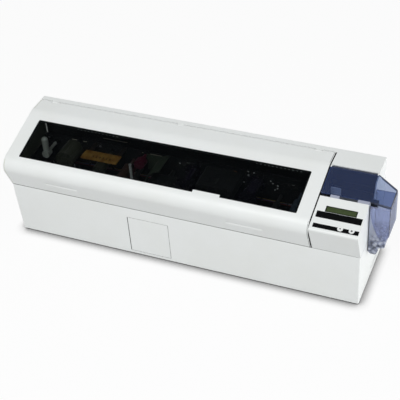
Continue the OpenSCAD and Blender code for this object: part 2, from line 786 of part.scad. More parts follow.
// ---- output hopper ----
hopper_y0 = card_y - 33;
hopper_y1 = card_y + 30;
hopper_top = slope_z(hopper_y0) - 6;
hopper_x0 = body_len + slip_gap;
hopper_x1 = body_len + hopper_out;
out_slot_z = 125;
out_slot_h = 7;
out_half = card_w / 2 + 0.4;
ramp_r = 175;

// Section of the hopper: two stepped lobes under a wider upper part
module hopper_profile(inset) {
    rounded_outline([[hopper_x0, 114], [hopper_x0 + 6.5, 107], [body_len + 20, 107], [body_len + 26, 127],
                     [hopper_x1 - 9, 131], [hopper_x1 - 6, 155], [hopper_x1, 166], [hopper_x1, hopper_top + inset],
                     [hopper_x0, hopper_top + inset]], [0, 4, 6, 0, 5, 0, 8, 0, 0], inset);
}

module output_hopper() {
    color(tint_blue) place() {
        difference() {
            along_y(hopper_y0, hopper_y1) hopper_profile(0);
            difference() {
                along_y(hopper_y0 + clear_t, hopper_y1 - clear_t) hopper_profile(clear_t);
                // curved ramp on the front wall that turns the cards upright
                along_y(hopper_y0, hopper_y0 + clear_t + 2) difference() {
                    translate([hopper_x0 + 2 + ramp_r, hopper_top]) circle(ramp_r);
                    translate([hopper_x0 + 5 + ramp_r, hopper_top]) circle(ramp_r);
                    translate([0, hopper_top - 3]) square([2 * body_len, 2 * ramp_r]);
                    translate([hopper_x0 + 24, 0]) square([2 * ramp_r, hopper_top]);
                }
            }
            block([body_len - 1, hopper_y0 + clear_t, out_slot_z - 1],
                  [hopper_x0 + clear_t + 0.2, hopper_y1 - clear_t, hopper_top + 1]);
        }
        for (y = peg_y)
            block([body_len - wall + 0.5, y - peg / 2, peg_z - peg / 2], [hopper_x0 + 0.5, y + peg / 2, peg_z + peg / 2]);
    }
}

// ---- chassis ----
rail_y = card_y - 33.5;
rail_t = 2;
wall_y = card_y + 58.5;
chassis_x0 = 14;
chassis_x1 = 750;
rail_z0 = 118;
rail_z1 = 172;
chassis_top = 200;
nip = 0.4;
drive_z = card_z - nip - drive_r;
pinch_r = 6;
pinch_shaft_r = 3;
pinch_z = card_z + nip + pinch_r;
clean_r = 9;
clean_z = card_z + nip + clean_r;
platen_z = card_z - nip - platen_r;
entry_x = 733;
clean_x = 690;
transport_x = 640;
exit_x = 425;
hot_z = card_z + nip + hot_r;
press_z = card_z - nip - hot_r;
gear_pitch = 2 * (hot_r + nip);
gear_module = gear_pitch / gear_teeth;
pinion_teeth = 12;
pinion_z = press_z - gear_module * (gear_teeth + pinion_teeth) / 2;
feed_teeth = 16;
feed_reach = gear_module * (gear_teeth + feed_teeth) / 2;
lam_feed_x = hot_x + sqrt(pow(feed_reach, 2) - pow(hot_r - drive_r, 2));
lam_feed_a = asin((hot_r - drive_r) / feed_reach);
gear_y0 = wall_y + 14;
gear_y1 = gear_y0 + 6;
pulley_y0 = wall_y + 6;
pulley_y1 = pulley_y0 + 6;
pulley_r = 8;
motor_x = 600;
motor_z = 100;
carrier_x = head_x + 61;
carrier_z = 176;
supply_x = head_x + 110;
takeup_x = head_x - 48;
spool_z = 190;
lam_supply_x = 118;
lam_supply_z = 192;
lam_takeup_x = 205;
lam_takeup_z = 178;
cam_x = 300;
cam_z = 194;
lever_x = 50;
lever_z = 178;
flip_shaft_r = 5;
boss_len = 10;

// Shafts that run in the front rail and the rear wall: x, z, radius
bearings = [[entry_x, drive_z, shaft_r], [entry_x, pinch_z, pinch_shaft_r], [clean_x, clean_z, shaft_r],
            [transport_x, drive_z, shaft_r], [head_x, platen_z, shaft_r], [exit_x, drive_z, shaft_r],
            [carrier_x, carrier_z, shaft_r], [flip_x, card_z, flip_shaft_r],
            [lam_feed_x, drive_z, shaft_r], [hot_x, hot_z, shaft_r], [hot_x, press_z, shaft_r]];
// Shafts that only the rear wall carries, in a boss
stub_bearings = [[supply_x, spool_z], [takeup_x, spool_z], [lam_supply_x, lam_supply_z],
                 [lam_takeup_x, lam_takeup_z], [cam_x, cam_z], [lever_x, lever_z]];

module chassis_frame() {
    color(dark_steel) place() difference() {
        union() {
            // rear wall with its foot flange
            along_y(wall_y, wall_y + rail_t) polygon([[chassis_x0, pan_top], [chassis_x1, pan_top],
                [chassis_x1, chassis_top - 12], [chassis_x1 - 12, chassis_top], [chassis_x0 + 12, chassis_top], [chassis_x0, chassis_top - 12]]);
            block([chassis_x0, wall_y, pan_top], [chassis_x1, wall_y + 13, pan_top + rail_t]);
            // front rail on legs, raised where it carries the printhead
            along_y(rail_y, rail_y + rail_t) polygon([
                [chassis_x0, pan_top], [chassis_x0 + 24, pan_top], [chassis_x0 + 24, rail_z0], [226, rail_z0],
                [232, pan_top], [252, pan_top], [258, rail_z0], [446, rail_z0], [452, pan_top], [472, pan_top],
                [478, rail_z0], [chassis_x1 - 24, rail_z0], [chassis_x1 - 24, pan_top], [chassis_x1, pan_top],
                [chassis_x1, rail_z1], [carrier_x + 20, rail_z1], [carrier_x + 10, carrier_z + 10],
                [carrier_x - 10, carrier_z + 10], [carrier_x - 20, rail_z1], [chassis_x0, rail_z1]]);
            // end plates
            block([chassis_x0, rail_y, pan_top], [chassis_x0 + rail_t, wall_y + 1, rail_z1]);
            block([chassis_x1 - rail_t, rail_y, pan_top], [chassis_x1, wall_y + 1, rail_z1]);
            for (s = stub_bearings) rod_y(s[0], s[1], wall_y - boss_len, wall_y + 0.5, shaft_r + 4);
        }
        for (b = bearings) rod_y(b[0], b[1], rail_y - 1, wall_y + rail_t + 1, b[2] + run_gap);
        for (s = stub_bearings) rod_y(s[0], s[1], wall_y - boss_len - 1, wall_y + rail_t + 1, shaft_r + run_gap);
        // way for the cards through the end plate on the feeder side
        block([chassis_x1 - rail_t - 1, card_y - 30, card_z - 14], [chassis_x1 + 1, card_y + 30, card_z + 14]);
        // lightening holes
        for (x = [80, 150, 520, 700]) along_y(wall_y - 1, wall_y + rail_t + 1) translate([x, 40]) rounded_rect(40, 50, 6);
        block([chassis_x0 - 1, card_y - 30, 40], [chassis_x0 + rail_t + 1, card_y + 30, 110]);
        block([chassis_x1 - rail_t - 1, card_y - 30, 40], [chassis_x1 + 1, card_y + 30, 110]);
    }
}

// ---- rollers ----
module retainer(x, z, r) {
    rod_y(x, z, wall_y + rail_t + slip_gap, wall_y + rail_t + 1.5, r + 1.5);
    rod_y(x, z, rail_y - 1.5, rail_y - slip_gap, r + 1.5);
}

// Roller on a through shaft; the rubber is as wide as a card
module card_roller(x, z, r, shaft, rear_y) {
    rod_y(x, z, rail_y - 2, rear_y, shaft);
    rod_y(x, z, card_y - card_w / 2, card_y + card_w / 2, r);
    retainer(x, z, shaft);
}

module spur_gear(x, z, teeth, phase) {
    pitch_r = gear_module * teeth / 2;
    tip_r = pitch_r + 0.85 * gear_module;
    root_r = pitch_r - 1.2 * gear_module;
    pitch_a = 360 / teeth;
    along_y(gear_y0, gear_y1) translate([x, z]) rotate(phase)
        polygon([for (i = [0:teeth - 1], c = [[root_r, -0.36], [pitch_r, -0.215], [tip_r, -0.09],
                                               [tip_r, 0.09], [pitch_r, 0.215], [root_r, 0.36]])
            c[0] * [cos((i + c[1]) * pitch_a), sin((i + c[1]) * pitch_a)]]);
}

module entry_roller() {
    color(rubber_black) place() {
        card_roller(entry_x, drive_z, drive_r, shaft_r, pulley_y1 + 1);
        rod_y(entry_x, drive_z, pulley_y0, pulley_y1, pulley_r);
    }
}

module pinch_roller() {
    color("#6d7076") place() card_roller(entry_x, pinch_z, pinch_r, pinch_shaft_r, wall_y + rail_t + 2);
}

module cleaning_roller() {
    color("#c9d6e6") place() card_roller(clean_x, clean_z, clean_r, shaft_r, wall_y + rail_t + 2);
}

module transport_roller() {
    color(rubber_black) place() {
        card_roller(transport_x, drive_z, drive_r, shaft_r, pulley_y1 + 1);
        rod_y(transport_x, drive_z, pulley_y0, pulley_y1, pulley_r);
    }
}

module platen_roller() {
    color(rubber_black) place() {
        card_roller(head_x, platen_z, platen_r, shaft_r, pulley_y1 + 1);
        rod_y(head_x, platen_z, pulley_y0, pulley_y1, drive_z + pulley_r - platen_z);
    }
}

module exit_roller() {
    color(rubber_black) place() {
        card_roller(exit_x, drive_z, drive_r, shaft_r, pulley_y1 + 1);
        rod_y(exit_x, drive_z, pulley_y0, pulley_y1, pulley_r);
    }
}

module laminator_feed_roller() {
    color(rubber_black) place() {
        card_roller(lam_feed_x, drive_z, drive_r, shaft_r, gear_y1 + 1);
        spur_gear(lam_feed_x, drive_z, feed_teeth,
                  180 + lam_feed_a * (1 + gear_teeth / feed_teeth) + 180 / feed_teeth);
    }
}

module heated_roller() {
    color("#7b4a33") place() {
        card_roller(hot_x, hot_z, hot_r, shaft_r, gear_y1 + 1);
        spur_gear(hot_x, hot_z, gear_teeth, 180 / gear_teeth);
    }
}

module pressure_roller() {
    color("#a34a3a") place() {
        card_roller(hot_x, press_z, hot_r, shaft_r, gear_y1 + 1);
        spur_gear(hot_x, press_z, gear_teeth, 0);
    }
}

// ---- drives ----
motor_size = 42;
motor_y0 = wall_y + 18;
lam_motor_size = 36;
lam_motor_y0 = gear_y1 + 3;
motor_rear = body_depth - wall - 2;

module drive_motor() {
    color("#5b5e63") place() {
        difference() {
            translate([motor_x - motor_size / 2, motor_rear, motor_z - motor_size / 2]) rotate([90, 0, 0])
                linear_extrude(motor_rear - motor_y0) rounded_rect(motor_size, motor_size, 5);
            for (y = [motor_y0 + 7, motor_y0 + 20]) difference() {
                block([motor_x - 30, y, motor_z - 30], [motor_x + 30, y + 1, motor_z + 30]);
                block([motor_x - 20.5, y - 1, motor_z - 20.5], [motor_x + 20.5, y + 2, motor_z + 20.5]);
            }
        }
        for (dx = [-15.5, 15.5], dz = [-15.5, 15.5])
            rod_y(motor_x + dx, motor_z + dz, wall_y + rail_t, motor_y0 + 1, 3);
    }
}

module motor_pulley() {
    color("#c8a857") place() {
        rod_y(motor_x, motor_z, pulley_y0, pulley_y1, pulley_r);
        rod_y(motor_x, motor_z, pulley_y0 - 1, motor_y0 - slip_gap, 2.5);
    }
}

belt_t = 1.4;
belt_centres = [[motor_x, motor_z], [entry_x, drive_z], [exit_x, drive_z]];

module timing_belt() {
    color("#232427") place() along_y(pulley_y0 + 0.5, pulley_y1 - 0.5) difference() {
        rounded_outline(belt_centres, [0, 0, 0], -(pulley_r + slip_gap + belt_t));
        rounded_outline(belt_centres, [0, 0, 0], -(pulley_r + slip_gap));
    }
}

module laminator_motor() {
    posts = [[-26, 12], [-26, -13], [26, -13]];
    color("#5b5e63") place() {
        translate([hot_x - lam_motor_size / 2, motor_rear, pinion_z - lam_motor_size / 2]) rotate([90, 0, 0])
            linear_extrude(motor_rear - lam_motor_y0) rounded_rect(lam_motor_size, lam_motor_size, 4);
        block([hot_x - 31, lam_motor_y0, pinion_z - 18], [hot_x + 31, lam_motor_y0 + 2, pinion_z + 17]);
        for (p = posts) rod_y(hot_x + p[0], pinion_z + p[1], wall_y + rail_t, lam_motor_y0 + 1, 2.5);
    }
}

module laminator_pinion() {
    color("#c8a857") place() {
        spur_gear(hot_x, pinion_z, pinion_teeth, 180 / pinion_teeth);
        rod_y(hot_x, pinion_z, gear_y0 - 1, lam_motor_y0 - slip_gap, 2);
    }
}

// ---- print station ----
carrier_x0 = head_x - 20;
carrier_top = 200;

module printhead_carrier() {
    color(black_abs) place() {
        difference() {
            union() {
                along_y(card_y - 25, card_y + 47) difference() {
                    rounded_outline([[carrier_x0, carrier_z - 10], [carrier_x + 8, carrier_z - 10],
                                     [carrier_x + 8, carrier_top - 6], [carrier_x - 16, carrier_top], [carrier_x0, carrier_top]],
                                    [3, 6, 8, 3, 5]);
                    translate([carrier_x0 + 12, carrier_z + 4]) rounded_rect(40, 9, 4);
                }
            }
            // finger scoop in the top
            rod_y(carrier_x0 + 34, carrier_top + 16, card_y - 12, card_y + 12, 20);
            // finned front
            for (i = [0:5])
                block([carrier_x0 + 58 + i * 4, card_y - 26, carrier_top - 16], [carrier_x0 + 60 + i * 4, card_y - 21, carrier_top + 1]);
        }
        rod_y(carrier_x, carrier_z, rail_y - 2, wall_y + rail_t + 2, shaft_r);
        retainer(carrier_x, carrier_z, shaft_r);
    }
}

module thermal_printhead() {
    color(steel) place() difference() {
        along_y(card_y - card_w / 2, card_y + card_w / 2)
            polygon([[head_x - 14, carrier_z - 10], [head_x - 14, card_z + 5], [head_x - 4, card_z + 1.7],
                     [head_x + 4, card_z + 1.7], [head_x + 20, card_z + 6], [head_x + 20, carrier_z - 10]]);
        for (i = [0:4])
            block([head_x + 10 + i * 2, card_y - card_w, carrier_z - 14], [head_x + 11 + i * 2, card_y + card_w, carrier_z - 9]);
    }
}

// Flanged ribbon spool on a stub shaft; drive holes ring its front flange
module spool(x, z, film_r) {
    front = card_y - card_w / 2;
    difference() {
        union() {
            rod_y(x, z, front - 2.5, front - 0.5, spool_r);
            rod_y(x, z, front + card_w, front + card_w + 2, spool_r);
        }
        for (i = [0:5])
            rod_y(x + 14 * cos(60 * i + 20), z + 14 * sin(60 * i + 20), front - 4, front + card_w + 4, 3);
    }
    rod_y(x, z, front - 1, front + card_w + 0.5, film_r);
    rod_y(x, z, front - 5, wall_y + rail_t + 2, shaft_r);
    rod_y(x, z, wall_y + rail_t + slip_gap, wall_y + rail_t + 1.5, shaft_r + 1.5);
}

module ribbon_supply_spool() color("#4b3a6b") place() spool(supply_x, spool_z, 15);
module ribbon_takeup_spool() color("#2f2f35") place() spool(takeup_x, spool_z, 10);

web_t = 0.3;
web_z = card_z + 0.9;

// Upper side of the web above point i of its line
function web_upper(p, i) =
    i == 0 ? p[i] + web_t * normal_after(p, i)
    : i == len(p) - 1 ? p[i] + web_t * normal_before(p, i)
    : inset_corner(p, i, web_t);

module web_outline(points) {
    last = len(points) - 1;
    polygon([each points, for (i = [0:last]) web_upper(points, last - i)]);
}

// Ribbon between the two spools, under the printhead
module ribbon_web() {
    color("#2a2440") place() along_y(card_y - card_w / 2 + 1, card_y + card_w / 2 - 1)
        web_outline([[takeup_x + 8.5, spool_z - 10], [head_x - 18, web_z + 5], [head_x - 6, web_z],
                     [head_x + 6, web_z], [head_x + 26, web_z + 6], [carrier_x + 15, web_z + 11], [supply_x - 14.6, spool_z - 6]]);
}

// ---- flipper ----
flip_len = 76;
flip_h = 9;
flip_half = 30;

module card_flipper() {
    color("#2d3034") place() {
        difference() {
            along_y(card_y - flip_half, card_y + flip_half) translate([flip_x, card_z]) intersection() {
                circle(flip_len / 2 + 2);
                translate([-flip_len / 2 - 2, -flip_h]) square([flip_len + 4, 2 * flip_h]);
            }
            // card gap, flared at both ends
            along_y(card_y - flip_half + 2, card_y + flip_half - 2) translate([flip_x, card_z])
                polygon([[-flip_len, -9], [-flip_len / 2 + 6, -1.2], [flip_len / 2 - 6, -1.2], [flip_len, -9],
                         [flip_len, 9], [flip_len / 2 - 6, 1.2], [-flip_len / 2 + 6, 1.2], [-flip_len, 9]]);
            for (x = [-22, 0, 22], side = [-1, 1])
                rod_z(flip_x + x, card_y, card_z + (side > 0 ? 4 : -12), card_z + (side > 0 ? 12 : -4), 7);
        }
        rod_y(flip_x, card_z, rail_y - 2, card_y - flip_half + 1, flip_shaft_r);
        rod_y(flip_x, card_z, card_y + flip_half - 1, wall_y + rail_t + 2, flip_shaft_r);
        retainer(flip_x, card_z, flip_shaft_r);
    }
}

// Bracket behind the flipper with the curved guide that keeps a turning card in
module flipper_guide() {
    guide_r = flip_len / 2 + 7;
    color("#7f8a78") place() {
        along_y(card_y - 8, wall_y) intersection() {
            difference() {
                translate([flip_x, card_z]) circle(guide_r + 2);
                translate([flip_x, card_z]) circle(guide_r);
            }
            translate([flip_x, card_z]) polygon([[0, 0], [-8, 60], [-60, 60], [-60, 12]]);
        }
        along_y(wall_y - 12, wall_y - 10) difference() {
            polygon([[flip_x - 62, card_z + 2], [flip_x - 20, card_z + 2], [flip_x - 14, card_z + 48], [flip_x - 62, card_z + 48]]);
            translate([flip_x, card_z]) circle(guide_r + 1);
        }
        block([flip_x - 58, wall_y - 11, card_z + 8], [flip_x - 50, wall_y, card_z + 22]);
    }
}

// ---- laminator ----
module stub_roll(x, z, r, core_r) {
    front = card_y - card_w / 2;
    difference() {
        rod_y(x, z, front, front + card_w, r);
        rod_y(x, z, front - 1, front + 1.2, r - 3);
    }
    rod_y(x, z, front - 4, front + card_w + 3, core_r);
    rod_y(x, z, front - 6, wall_y + rail_t + 2, shaft_r);
    rod_y(x, z, wall_y + rail_t + slip_gap, wall_y + rail_t + 1.5, shaft_r + 1.5);
}

module laminate_supply_roll() color("#9a9488") place() stub_roll(lam_supply_x, lam_supply_z, laminate_r, 9);
module laminate_takeup_roll() color("#8b8272") place() stub_roll(lam_takeup_x, lam_takeup_z, 14, 8);

// Amber cover over the heater
module heater_cover() {
    z = lam_takeup_z + 19;
    color("#c98f35") place() difference() {
        union() {
            along_x(lam_takeup_x - 50, lam_takeup_x + 45)
                rounded_outline([[card_y - 12, z], [card_y + 20, z], [card_y + 20, z + 3], [card_y - 12, z + 3]], [0, 0, 1, 1]);
            for (x = [lam_takeup_x - 44, lam_takeup_x + 32]) {
                block([x, card_y + 19, z - 3], [x + 8, wall_y, z + 1]);
                block([x, wall_y - 2, z - 14], [x + 8, wall_y, z + 1]);
            }
        }
        for (x = [lam_takeup_x - 40, lam_takeup_x + 38]) rod_z(x, card_y + 14, z - 1, z + 4, 1.6);
        for (i = [0:5]) block([lam_takeup_x - 24 + i * 9, card_y - 4, z - 1], [lam_takeup_x - 20 + i * 9, card_y + 6, z + 4]);
    }
}

// White lever that opens the laminate cartridge
module release_lever() {
    color("#e6e6e2") place() {
        rod_y(lever_x, lever_z, card_y - 2, wall_y + rail_t + 2, shaft_r);
        rod_y(lever_x, lever_z, card_y - 4, card_y + 14, 10);
        translate([lever_x, card_y + 5, lever_z + 4]) round_bar(42, 8, 0, 6.5);
        rod_y(lever_x, lever_z, wall_y + rail_t + slip_gap, wall_y + rail_t + 1.5, shaft_r + 1.5);
    }
}

// Maroon eccentric that lifts the heated roller
module release_cam() {
    color("#5a1522") place() {
        along_y(card_y + 7, card_y + 25) {
            translate([cam_x, cam_z]) circle(12);
            translate([cam_x + 5, cam_z + 3]) circle(11);
        }
        rod_y(cam_x, cam_z, card_y + 3, wall_y + rail_t + 2, shaft_r);
        rod_y(cam_x, cam_z, wall_y + rail_t + slip_gap, wall_y + rail_t + 1.5, shaft_r + 1.5);
    }
}

// Close-wound spring on its guide pin at the front rail
module latch_spring() {
    coil_r = 3.4;
    wire_r = 0.8;
    color("#d4d6d8") place() translate([cam_x, rail_y + 1, rail_z1]) {
        cylinder(h = 52, r = 1.6);
        translate([0, 0, 50]) cylinder(h = 3, r = 3.6);
        cylinder(h = 1.5, r = 4);
        for (i = [0:11]) translate([0, 0, 5 + i * 3.6]) rotate_extrude()
            translate([coil_r - 1.2, 0]) circle(wire_r * 1.6);
    }
}

// ---- electronics ----
board_x0 = 470;
board_z = pan_top + 6;

module main_board() {
    color("#1d5136") place() {
        translate([board_x0, card_y - 21.5, 0]) {
            block([0, 0, board_z], [210, 72, board_z + 1.6]);
            for (x = [5, 205], y = [5, 67]) rod_z(x, y, pan_top, board_z + 0.2, 3);
            for (i = [0:2]) rod_z(20 + 16 * i, 12, board_z + 1, board_z + 17, 5);
            block([70, 14, board_z + 1], [98, 42, board_z + 4]);
            block([110, 14, board_z + 1], [134, 28, board_z + 4]);
            for (i = [0:3]) block([108 + i * 22, 58, board_z + 1], [124 + i * 22, 66, board_z + 10]);
        }
    }
}

module power_supply() {
    x0 = chassis_x1 + 14;
    color("#a9adb1") place() difference() {
        block([x0, 36, pan_top], [body_len - wall - 11, 150, pan_top + 52]);
        for (i = [0:7]) block([x0 + 10 + i * 9, 46, pan_top + 50], [x0 + 14 + i * 9, 100, pan_top + 53]);
    }
}

inlet_y0 = body_depth - 24;

// Rear mains module: socket on the right, aperture of the rocker switch on the left
module power_inlet() {
    inner_w = inlet_w - 5;
    inner_h = inlet_h - 5;
    color(black_abs) place() {
        difference() {
            union() {
                block([inlet_x - inlet_w / 2, inlet_y0, inlet_z - inlet_h / 2],
                      [inlet_x + inlet_w / 2, body_depth - 0.2, inlet_z + inlet_h / 2]);
                block([switch_x - switch_w / 2 - 1, inlet_y0, inlet_z - switch_h / 2 - 1],
                      [switch_x + switch_w / 2 + 1, body_depth - 0.2, inlet_z + switch_h / 2 + 1]);
                block([switch_x - switch_w / 2 - 4, body_depth - wall - 3, inlet_z - 14],
                      [inlet_x + inlet_w / 2 + 4, body_depth - wall - fit_gap, inlet_z + 14]);
            }
            block([inlet_x - inner_w / 2, body_depth - 16, inlet_z - inner_h / 2],
                  [inlet_x + inner_w / 2, body_depth + 1, inlet_z + inner_h / 2]);
            block([switch_x - switch_w / 2 + 1, inlet_y0 + 8, inlet_z - switch_h / 2 + 1],
                  [switch_x + switch_w / 2 - 1, body_depth + 1, inlet_z + switch_h / 2 - 1]);
            rod_x(rocker_y, inlet_z, switch_x - switch_w / 2, switch_x + switch_w / 2, 1.05);
        }
        for (p = [[-7, 1], [0, -3], [7, 1]])
            block([inlet_x + p[0] - 1, body_depth - 17, inlet_z + p[1] - 2], [inlet_x + p[0] + 1, body_depth - 6, inlet_z + p[1] + 2]);
    }
}

rocker_y = body_depth - 8;
rocker_a = 7;

module power_switch() {
    w = switch_w - 3;
    color("#d8d8d6") place() {
        along_x(switch_x - w / 2, switch_x + w / 2) difference() {
            translate([rocker_y, inlet_z]) rotate(0) circle(switch_h / 2 - 2.2);
            translate([rocker_y + 7, inlet_z]) rotate(rocker_a) square([3, 30], center = true);
            translate([rocker_y + 5.6, inlet_z - 20]) square([5, 40]);
        }
        rod_x(rocker_y, inlet_z, switch_x - switch_w / 2 + 0.3, switch_x + switch_w / 2 - 0.3, 1);
    }
}

module rear_ports() {
    y1 = body_depth - wall - fit_gap;
    color(steel) place() difference() {
        union() {
            block([port_x - 3, y1 - 1.5, inlet_z - port_h / 2 - 3], [port_x + port_w + 3, y1, inlet_z + port_h / 2 + 3]);
            block([port_x + 4, y1 - 12, inlet_z - 6], [port_x + 16, y1 + 2.6, inlet_z + 6]);
            block([port_x + 22, y1 - 12, inlet_z - 5], [port_x + 58, y1 + 2.6, inlet_z + 5]);
        }
        block([port_x + 6, y1 - 0.4, inlet_z - 4], [port_x + 14, y1 + 4, inlet_z + 4]);
        block([port_x + 24, y1 - 0.4, inlet_z - 3], [port_x + 56, y1 + 4, inlet_z + 3]);
    }
}

fan_y0 = body_depth - wall - 0.3 - 20;

module cooling_fan() {
    color("#26282b") place() {
        difference() {
            block([fan_x - fan_size / 2, fan_y0, fan_z - fan_size / 2], [fan_x + fan_size / 2, fan_y0 + 20, fan_z + fan_size / 2]);
            rod_y(fan_x, fan_z, fan_y0 - 1, fan_y0 + 21, fan_size / 2 - 2);
        }
        difference() {
            union() {
                for (a = [0, 90]) translate([fan_x, fan_y0, fan_z]) rotate([0, a + 45, 0])
                    block([-fan_size / 2 + 1, 0, -1.5], [fan_size / 2 - 1, 2, 1.5]);
                rod_y(fan_x, fan_z, fan_y0, fan_y0 + 3, 9);
            }
            rod_y(fan_x, fan_z, fan_y0 - 1, fan_y0 + 4, 2.05);
        }
    }
}

module fan_rotor() {
    color("#17181a") place() translate([fan_x, fan_y0 + 3.4, fan_z]) rotate([-90, 0, 0]) {
        translate([0, 0, -3]) cylinder(h = 6, r = 2);
        cylinder(h = 14, r = 10);
        for (i = [0:6]) rotate(i * 360 / 7) intersection() {
            translate([9, 0, 7]) rotate([38, 0, 0]) translate([0, -9, -0.6]) cube([17, 18, 1.2]);
            cylinder(h = 14, r = fan_size / 2 - 3.5);
        }
    }
}

base_pan();
base_casing();
upper_housing();
rubber_feet();
case_screws();
main_lid();
lid_window();
lid_hinge_pins();
front_door();
door_hinge_pins();
reject_bin();
feeder_cover();
cover_grip();
cover_hinge_pins();
card_tray();
card_stack();
card_weight();
pick_roller();
output_hopper();
lcd_screen();
lcd_module();
label_strips();
left_button();
right_button();
control_board();
chassis_frame();
entry_roller();
pinch_roller();
cleaning_roller();
transport_roller();
platen_roller();
exit_roller();
drive_motor();
motor_pulley();
timing_belt();
printhead_carrier();
thermal_printhead();
ribbon_supply_spool();
ribbon_takeup_spool();
ribbon_web();
card_flipper();
flipper_guide();
laminate_supply_roll();
laminate_takeup_roll();
heated_roller();
pressure_roller();
laminator_feed_roller();
laminator_motor();
laminator_pinion();
heater_cover();
release_lever();
release_cam();
latch_spring();
main_board();
power_supply();
power_inlet();
power_switch();
rear_ports();
cooling_fan();
fan_rotor();
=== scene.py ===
import json
import math
from itertools import product

import bmesh
import bpy
from mathutils import Matrix, Vector


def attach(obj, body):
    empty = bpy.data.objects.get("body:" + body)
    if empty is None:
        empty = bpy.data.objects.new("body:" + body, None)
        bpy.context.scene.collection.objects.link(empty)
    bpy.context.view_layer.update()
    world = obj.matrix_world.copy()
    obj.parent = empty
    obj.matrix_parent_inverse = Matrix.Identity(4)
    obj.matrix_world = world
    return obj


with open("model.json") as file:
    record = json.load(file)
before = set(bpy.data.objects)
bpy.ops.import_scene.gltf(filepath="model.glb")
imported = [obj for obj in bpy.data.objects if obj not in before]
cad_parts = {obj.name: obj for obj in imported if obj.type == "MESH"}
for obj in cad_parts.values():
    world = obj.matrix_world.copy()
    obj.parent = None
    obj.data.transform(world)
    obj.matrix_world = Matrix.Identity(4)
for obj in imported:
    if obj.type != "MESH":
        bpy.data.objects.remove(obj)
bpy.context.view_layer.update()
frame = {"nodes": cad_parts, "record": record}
NODES = frame["nodes"]
LINK = bpy.context.scene.collection.objects.link

# Places are in the machine's own coordinates: mm from the left end, the lower front plane and the
# floor. Radii and bump distances inside materials are in metres, and noise scales are per metre.
PER_M = 1000
ORIGIN = {"X": 460.0, "Y": 87.8385, "Z": 0.0}  # the origin of the row's frame


def metres(axis, value):
    """A machine coordinate in the row's frame."""
    return (value - ORIGIN[axis]) / PER_M


def at(x, y, z):
    return Vector((metres("X", x), metres("Y", y), metres("Z", z)))


# The sloping face of the lid and the control panel: its nose corner (y, z) and its directions
NOSE = (-31, 221)
SLOPE = math.radians(15.5928)
SLOPE_UP = Vector((0, math.cos(SLOPE), math.sin(SLOPE)))
SLOPE_OUT = Vector((0, -math.sin(SLOPE), math.cos(SLOPE)))


def on_slope(x, s, n):
    """A point x along the machine, s up the slope from the nose corner and n out of it (mm)."""
    return at(*(Vector((x, *NOSE)) + SLOPE_UP * s + SLOPE_OUT * n))


# Faces and edges of the CAD part that small pieces and coats go by (mm)
CASE_RIGHT_X = 870
CASE_BACK_Y = 205
SEAM_Z = 141.5          # foot of the upper housing and the lid
CHASSIS_WALL_Y = 150    # the wall behind the card path, seen through the window
FRONT_RAIL_Y = 58
SHAFT_END_Y = 56
PAN_Z = 6
BOARD_TOP_Z = 15.1
DOOR_X, DOOR_Z = (306.1, 411.9), (10.1, 113.9)   # the opening of the front door
DISPLAY_X, DISPLAY_S = (782.5, 852.5), (52.95, 68.95)
KEY_S = (31 - 14.5) / math.cos(SLOPE)            # how far up the slope the two keys are

# ---------------------------------------------------------------- camera
# Matched to the photo: direction, focal length, aim and offset in the picture's plane
PHOTO_PX, FOCAL_PX, SENSOR = 400, 1013.03, 36
AZ, EL, ROLL = (math.radians(a) for a in (25.169, 38.953, -4.794))
AIM = (435, 105, 105)
DISTANCE, RIGHTWARD, UPWARD = 2427.55, 13.75, 7.94


def make_camera():
    back = Vector((math.sin(AZ) * math.cos(EL), -math.cos(AZ) * math.cos(EL), math.sin(EL)))
    right = Vector((math.cos(AZ), math.sin(AZ), 0))
    up = back.cross(right)
    cam_x = math.cos(ROLL) * right + math.sin(ROLL) * up
    cam_y = -math.sin(ROLL) * right + math.cos(ROLL) * up
    data = bpy.data.cameras.new("camera")
    data.sensor_fit = "HORIZONTAL"
    data.sensor_width = SENSOR
    data.lens = FOCAL_PX / PHOTO_PX * SENSOR
    data.clip_start = 0.05
    data.clip_end = 30
    cam = bpy.data.objects.new("camera", data)
    LINK(cam)
    place = at(*AIM) + (back * DISTANCE + cam_x * RIGHTWARD + cam_y * UPWARD) / PER_M
    turn = Matrix((cam_x, cam_y, back)).transposed().to_4x4()
    cam.matrix_world = Matrix.Translation(place) @ turn
    bpy.context.scene.camera = cam


make_camera()

# ---------------------------------------------------------------- materials
M = {}  # every material by its name
WHITE = (0.79, 0.81, 0.80)
# Painted shade: black on the insides of the white shells, under the window's rim and in the door
# opening
SHADE_BLACK = (0.008, 0.0085, 0.0095)
# Painted shade: the olive grey that the lid's white left wall inside shows in shade
OLIVE = (0.42, 0.44, 0.31)
# Painted shadow lines: the dark of the seam below the upper housing and of the door's edges
SHADOW_LINE = (0.03, 0.03, 0.03)
SKIN = 0.0016  # how far under the sloping face the painted shade inside a shell begins


def times(color, *factors):
    """A colour scaled by one factor, or by one for each channel."""
    return tuple(c * k for c, k in zip(color, factors * 3 if len(factors) == 1 else factors))


